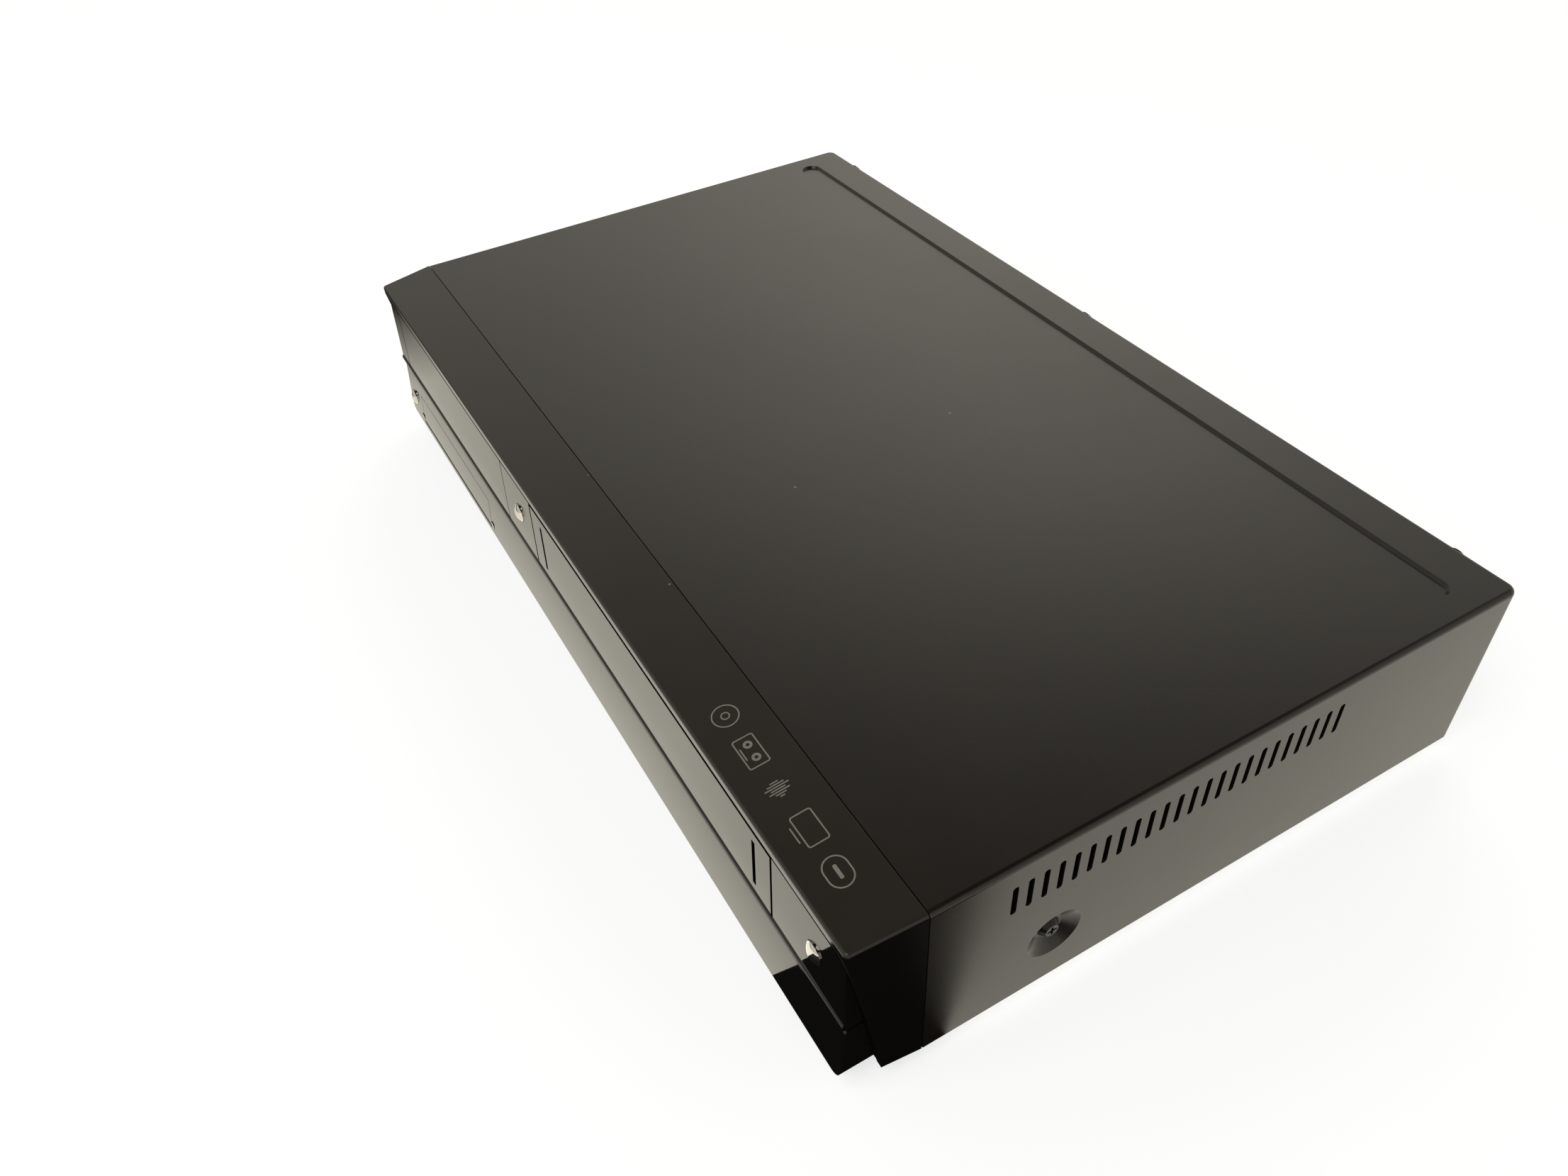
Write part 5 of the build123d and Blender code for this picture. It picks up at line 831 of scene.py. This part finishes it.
def addFloor(s):
    half = s["floorSize"] / 2
    mesh = bpy.data.meshes.new("floor")
    corners = [(-half, -half, 0), (half, -half, 0), (half, half, 0), (-half, half, 0)]
    mesh.from_pydata(corners, [], [(0, 1, 2, 3)])
    floor = bpy.data.objects.new("floor", mesh)
    bpy.context.scene.collection.objects.link(floor)
    material = bpy.data.materials.new("floorCard")
    material.use_nodes = True
    tree = material.node_tree
    tree.nodes.remove(tree.nodes["Principled BSDF"])
    out = tree.nodes["Material Output"]
    paper = addNode(tree, "ShaderNodeBsdfDiffuse")
    paper.inputs["Color"].default_value = (s["floorGrey"], s["floorGrey"], s["floorGrey"], 1)
    glow = addNode(tree, "ShaderNodeEmission")
    glow.inputs["Color"].default_value = (*s["floorTint"], 1)
    glow.inputs["Strength"].default_value = s["floorGlow"]
    lit = addNode(tree, "ShaderNodeAddShader")
    link(tree, paper.outputs[0], lit.inputs[0])
    link(tree, glow.outputs[0], lit.inputs[1])
    mirror = addNode(tree, "ShaderNodeEmission")
    mirror.inputs["Color"].default_value = (*s["mirrorGlow"], 1)
    link(tree, mirrorLevel(tree, s), mirror.inputs["Strength"])
    path = addNode(tree, "ShaderNodeLightPath")
    seen = mathNode(tree, "MAXIMUM", path.outputs["Is Glossy Ray"], path.outputs["Is Transmission Ray"])
    first = addNode(tree, "ShaderNodeMixShader")
    link(tree, path.outputs["Is Camera Ray"], first.inputs[0])
    link(tree, paper.outputs[0], first.inputs[1])
    link(tree, lit.outputs[0], first.inputs[2])
    second = addNode(tree, "ShaderNodeMixShader")
    link(tree, seen, second.inputs[0])
    link(tree, first.outputs[0], second.inputs[1])
    link(tree, mirror.outputs[0], second.inputs[2])
    link(tree, second.outputs[0], out.inputs["Surface"])
    mesh.materials.append(material)


def wayOf(azimuth, height):
    az, el = math.radians(azimuth), math.radians(height)
    return Vector((math.cos(az) * math.cos(el), math.sin(az) * math.cos(el), math.sin(el)))


def addWorld(s):
    world = bpy.data.worlds.new("studio")
    bpy.context.scene.world = world
    world.use_nodes = True
    tree = world.node_tree
    background = tree.nodes["Background"]
    coords = addNode(tree, "ShaderNodeTexCoord")
    split = addNode(tree, "ShaderNodeSeparateXYZ")
    link(tree, coords.outputs["Generated"], split.inputs[0])
    level = rampNode(tree, split.outputs[2], s["skyStops"])
    toward = addNode(tree, "ShaderNodeVectorMath", operation="DOT_PRODUCT")
    link(tree, coords.outputs["Generated"], toward.inputs[0])
    toward.inputs[1].default_value = wayOf(*s["softboxWay"])
    off = mathNode(tree, "SUBTRACT", toward.outputs["Value"], 1.0)
    fall = mathNode(tree, "DIVIDE", off, s["softboxSpread"])
    box = mathNode(tree, "MULTIPLY", mathNode(tree, "EXPONENT", fall), s["softboxGlow"])
    level = mixColour(tree, 1.0, level, box, "ADD")
    sky = mixColour(tree, 1.0, level, s["skyWarm"], "MULTIPLY")
    path = addNode(tree, "ShaderNodeLightPath")
    shown = mixColour(tree, path.outputs["Is Camera Ray"], sky, (1.0, 1.0, 1.0))
    link(tree, shown, background.inputs["Color"])
    background.inputs["Strength"].default_value = 1.0


def addLamp(name, s):
    data = bpy.data.lights.new(name, "AREA")
    data.shape = "DISK"
    data.size = s["keySize"]
    data.energy = s["keyPower"]
    data.color = s["lampColour"]
    lamp = bpy.data.objects.new(name, data)
    way = wayOf(*s["keyWay"])
    lamp.location = way * s["keyFar"]
    lamp.rotation_euler = way.to_track_quat("Z", "Y").to_euler()
    bpy.context.scene.collection.objects.link(lamp)


# a black card lies by the near corner: gloss shows it, nothing else does
cardSettings = {
    # its back edge, left to right
    "edge": [(0.167, -0.0965), (0.2175, -0.0965), (0.262, -0.045), (0.66, -0.045)],
    "reach": 0.5,
    "lift": 0.4 * mm,
}


def addBlackCard(s):
    mesh = bpy.data.meshes.new("blackCard")
    z = s["lift"]
    front = s["edge"][0][1] - s["reach"]
    corners = [(s["edge"][0][0], front, z), (s["edge"][-1][0], front, z)]
    corners += [(x, y, z) for x, y in reversed(s["edge"])]
    mesh.from_pydata(corners, [], [tuple(range(len(corners)))])
    card = bpy.data.objects.new("blackCard", mesh)
    bpy.context.scene.collection.objects.link(card)
    material = bpy.data.materials.new("blackCard")
    material.use_nodes = True
    shader = material.node_tree.nodes["Principled BSDF"]
    shader.inputs["Base Color"].default_value = (0.004, 0.0035, 0.003, 1)
    shader.inputs["Roughness"].default_value = 0.9
    mesh.materials.append(material)
    card.visible_camera = False
    card.visible_diffuse = False
    card.visible_shadow = False
    card.visible_transmission = False


addFloor(stageSettings)
addWorld(stageSettings)
addBlackCard(cardSettings)
addLamp("frontSoftbox", stageSettings)
print("stage: floor, surroundings and lamps set")


# printed marks: thin raised prints in pale ink, all plain pictograms
markSettings = {
    "ink": (0.30, 0.285, 0.25),
    "thickness": 0.03 * mm,
    "stroke": 0.45 * mm,
    "sides": 40,
}


def ringLoops(x, y, outer, inner, sides):
    turns = [2 * math.pi * n / sides for n in range(sides)]
    return [[(x + r * math.cos(t), y + r * math.sin(t)) for t in turns] for r in (outer, inner)]


def roundedLoop(x, y, width, height, radius, sides=6):
    points = []
    for cx, cy, start in (
        (x + width / 2 - radius, y + height / 2 - radius, 0),
        (x - width / 2 + radius, y + height / 2 - radius, 90),
        (x - width / 2 + radius, y - height / 2 + radius, 180),
        (x + width / 2 - radius, y - height / 2 + radius, 270),
    ):
        for n in range(sides + 1):
            t = math.radians(start + 90 * n / sides)
            points.append((cx + radius * math.cos(t), cy + radius * math.sin(t)))
    return points


def addBand(bm, outer, inner, toPoint, thickness):
    layers = []
    for lift in (0.0, thickness):
        layers.append([[bm.verts.new(toPoint(p, lift)) for p in loop] for loop in (outer, inner)])
    count = len(outer)
    for n in range(count):
        m = (n + 1) % count
        for loops, flip in ((layers[1], False), (layers[0], True)):
            face = [loops[0][n], loops[0][m], loops[1][m], loops[1][n]]
            bm.faces.new(face[::-1] if flip else face)
        bm.faces.new([layers[0][0][n], layers[0][0][m], layers[1][0][m], layers[1][0][n]])
        bm.faces.new([layers[0][1][m], layers[0][1][n], layers[1][1][n], layers[1][1][m]])


def addPlate(bm, loop, toPoint, thickness):
    low = [bm.verts.new(toPoint(p, 0.0)) for p in loop]
    high = [bm.verts.new(toPoint(p, thickness)) for p in loop]
    bm.faces.new(low[::-1])
    bm.faces.new(high)
    for n in range(len(loop)):
        m = (n + 1) % len(loop)
        bm.faces.new([low[n], low[m], high[m], high[n]])


def inkFinish(name, colour):
    return makeFinish(
        name,
        colour=colour,
        shift=tuple(0.82 * c for c in colour),
        roughness=(0.4, 0.55),
        bump=0.004 * mm,
        grain=3000.0,
        blotch=160.0,
    )


def newPiece(name, bm, material, body):
    bmesh.ops.recalc_face_normals(bm, faces=bm.faces)
    mesh = bpy.data.meshes.new(name)
    bm.to_mesh(mesh)
    bm.free()
    mesh.materials.append(material)
    piece = bpy.data.objects.new(name, mesh)
    bpy.context.scene.collection.objects.link(piece)
    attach(piece, body)


def discMark(bm, x, y, radius, toPoint, s):
    for outer in (radius, radius * 0.34):
        loops = ringLoops(x, y, outer, outer - s["stroke"], s["sides"])
        addBand(bm, loops[0], loops[1], toPoint, s["thickness"])


def frameMark(bm, x, y, width, height, radius, toPoint, s):
    stroke = s["stroke"]
    outer = roundedLoop(x, y, width, height, radius)
    inner = roundedLoop(x, y, width - 2 * stroke, height - 2 * stroke, radius - stroke * 0.8)
    addBand(bm, outer, inner, toPoint, s["thickness"])


def barMark(bm, x, y, width, height, toPoint, s):
    addPlate(bm, roundedLoop(x, y, width, height, min(width, height) * 0.3, 2), toPoint, s["thickness"])


def cassetteMark(bm, x, y, width, toPoint, s):
    frameMark(bm, x, y, width, width * 0.58, width * 0.07, toPoint, s)
    for side in (-1, 1):
        loops = ringLoops(x + side * width * 0.22, y + width * 0.03, width * 0.12, width * 0.05, 20)
        addBand(bm, loops[0], loops[1], toPoint, s["thickness"])
    barMark(bm, x, y - width * 0.2, width * 0.4, s["stroke"], toPoint, s)


def screenMark(bm, x, y, width, toPoint, s):
    frameMark(bm, x, y + width * 0.06, width, width * 0.6, width * 0.08, toPoint, s)
    barMark(bm, x, y - width * 0.34, width * 0.5, s["stroke"], toPoint, s)


def waveMark(bm, x, y, height, toPoint, s):
    for n, share in enumerate((0.35, 0.7, 1.0, 0.6, 0.85, 0.45, 0.2)):
        barMark(bm, x + (n - 3) * 2.0 * s["stroke"], y, s["stroke"], height * share, toPoint, s)


def hoodPoint(p, lift):
    return (p[0], p[1], hoodZ(p[1]) + hoodRow["clear"] + lift)


# the five marks of the hood, left to right
hoodRow = {
    "first": 0.124,
    "step": 0.0165,
    "y": seamY - 12.6 * mm,
    "clear": 0.01 * mm,
    "disc": 4.5 * mm,  # radius
    "cassette": 12.5 * mm,
    "wave": 8.0 * mm,
    "screen": 12.0 * mm,
    "frame": (11.0 * mm, 8.0 * mm, 4.0 * mm),  # width, height and corner
    "bar": (5.0 * mm, 1.2 * mm),
}


def addHoodMarks(row, s):
    bm = bmesh.new()
    y = row["y"]
    places = [row["first"] + n * row["step"] for n in range(5)]
    discMark(bm, places[0], y, row["disc"], hoodPoint, s)
    cassetteMark(bm, places[1], y, row["cassette"], hoodPoint, s)
    waveMark(bm, places[2], y, row["wave"], hoodPoint, s)
    screenMark(bm, places[3], y, row["screen"], hoodPoint, s)
    frameMark(bm, places[4], y, *row["frame"], hoodPoint, s)
    barMark(bm, places[4], y, *row["bar"], hoodPoint, s)
    newPiece("hood_marks", bm, inkFinish("hoodInk", s["ink"]), "casing")


addHoodMarks(hoodRow, markSettings)
print("stage: printed marks made")


# coloured rings round the rear phono sockets, one colour to each kind of signal
phonoRings = {
    "pitch": 14.0 * mm,
    "rise": 17.0 * mm,  # middle of the block above its foot
    "outer": 6.0 * mm,
    "inner": 4.3 * mm,
    "thickness": 0.25 * mm,
    "sides": 36,
    "rows": (
        (("red", (0.50, 0.02, 0.02)), ("white", (0.72, 0.71, 0.68)), ("yellow", (0.78, 0.55, 0.03))),
        (("red", (0.50, 0.02, 0.02)), ("blue", (0.03, 0.09, 0.42)), ("green", (0.04, 0.30, 0.08))),
    ),
}


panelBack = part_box("rear_panel")[1].y


def rearPoint(p, lift):
    return (p[0], panelBack + 0.02 * mm + lift, p[1])


def addPhonoRings(s):
    low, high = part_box("phono_block")
    middle = (low.x + high.x) / 2
    byColour = {}
    for row, kinds in enumerate(s["rows"]):
        z = low.z + s["rise"] + (0.5 - row) * s["pitch"]
        for column, kind in enumerate(kinds):
            x = middle + (column - 1) * s["pitch"]
            loops = ringLoops(x, z, s["outer"], s["inner"], s["sides"])
            if kind not in byColour:
                byColour[kind] = bmesh.new()
            addBand(byColour[kind], loops[0], loops[1], rearPoint, s["thickness"])
    for (colourName, colour), bm in byColour.items():
        material = inkFinish(colourName + "Insert", colour)
        newPiece("phono_rings_" + colourName, bm, material, "casing")


addPhonoRings(phonoRings)
print("stage: rear socket rings made")
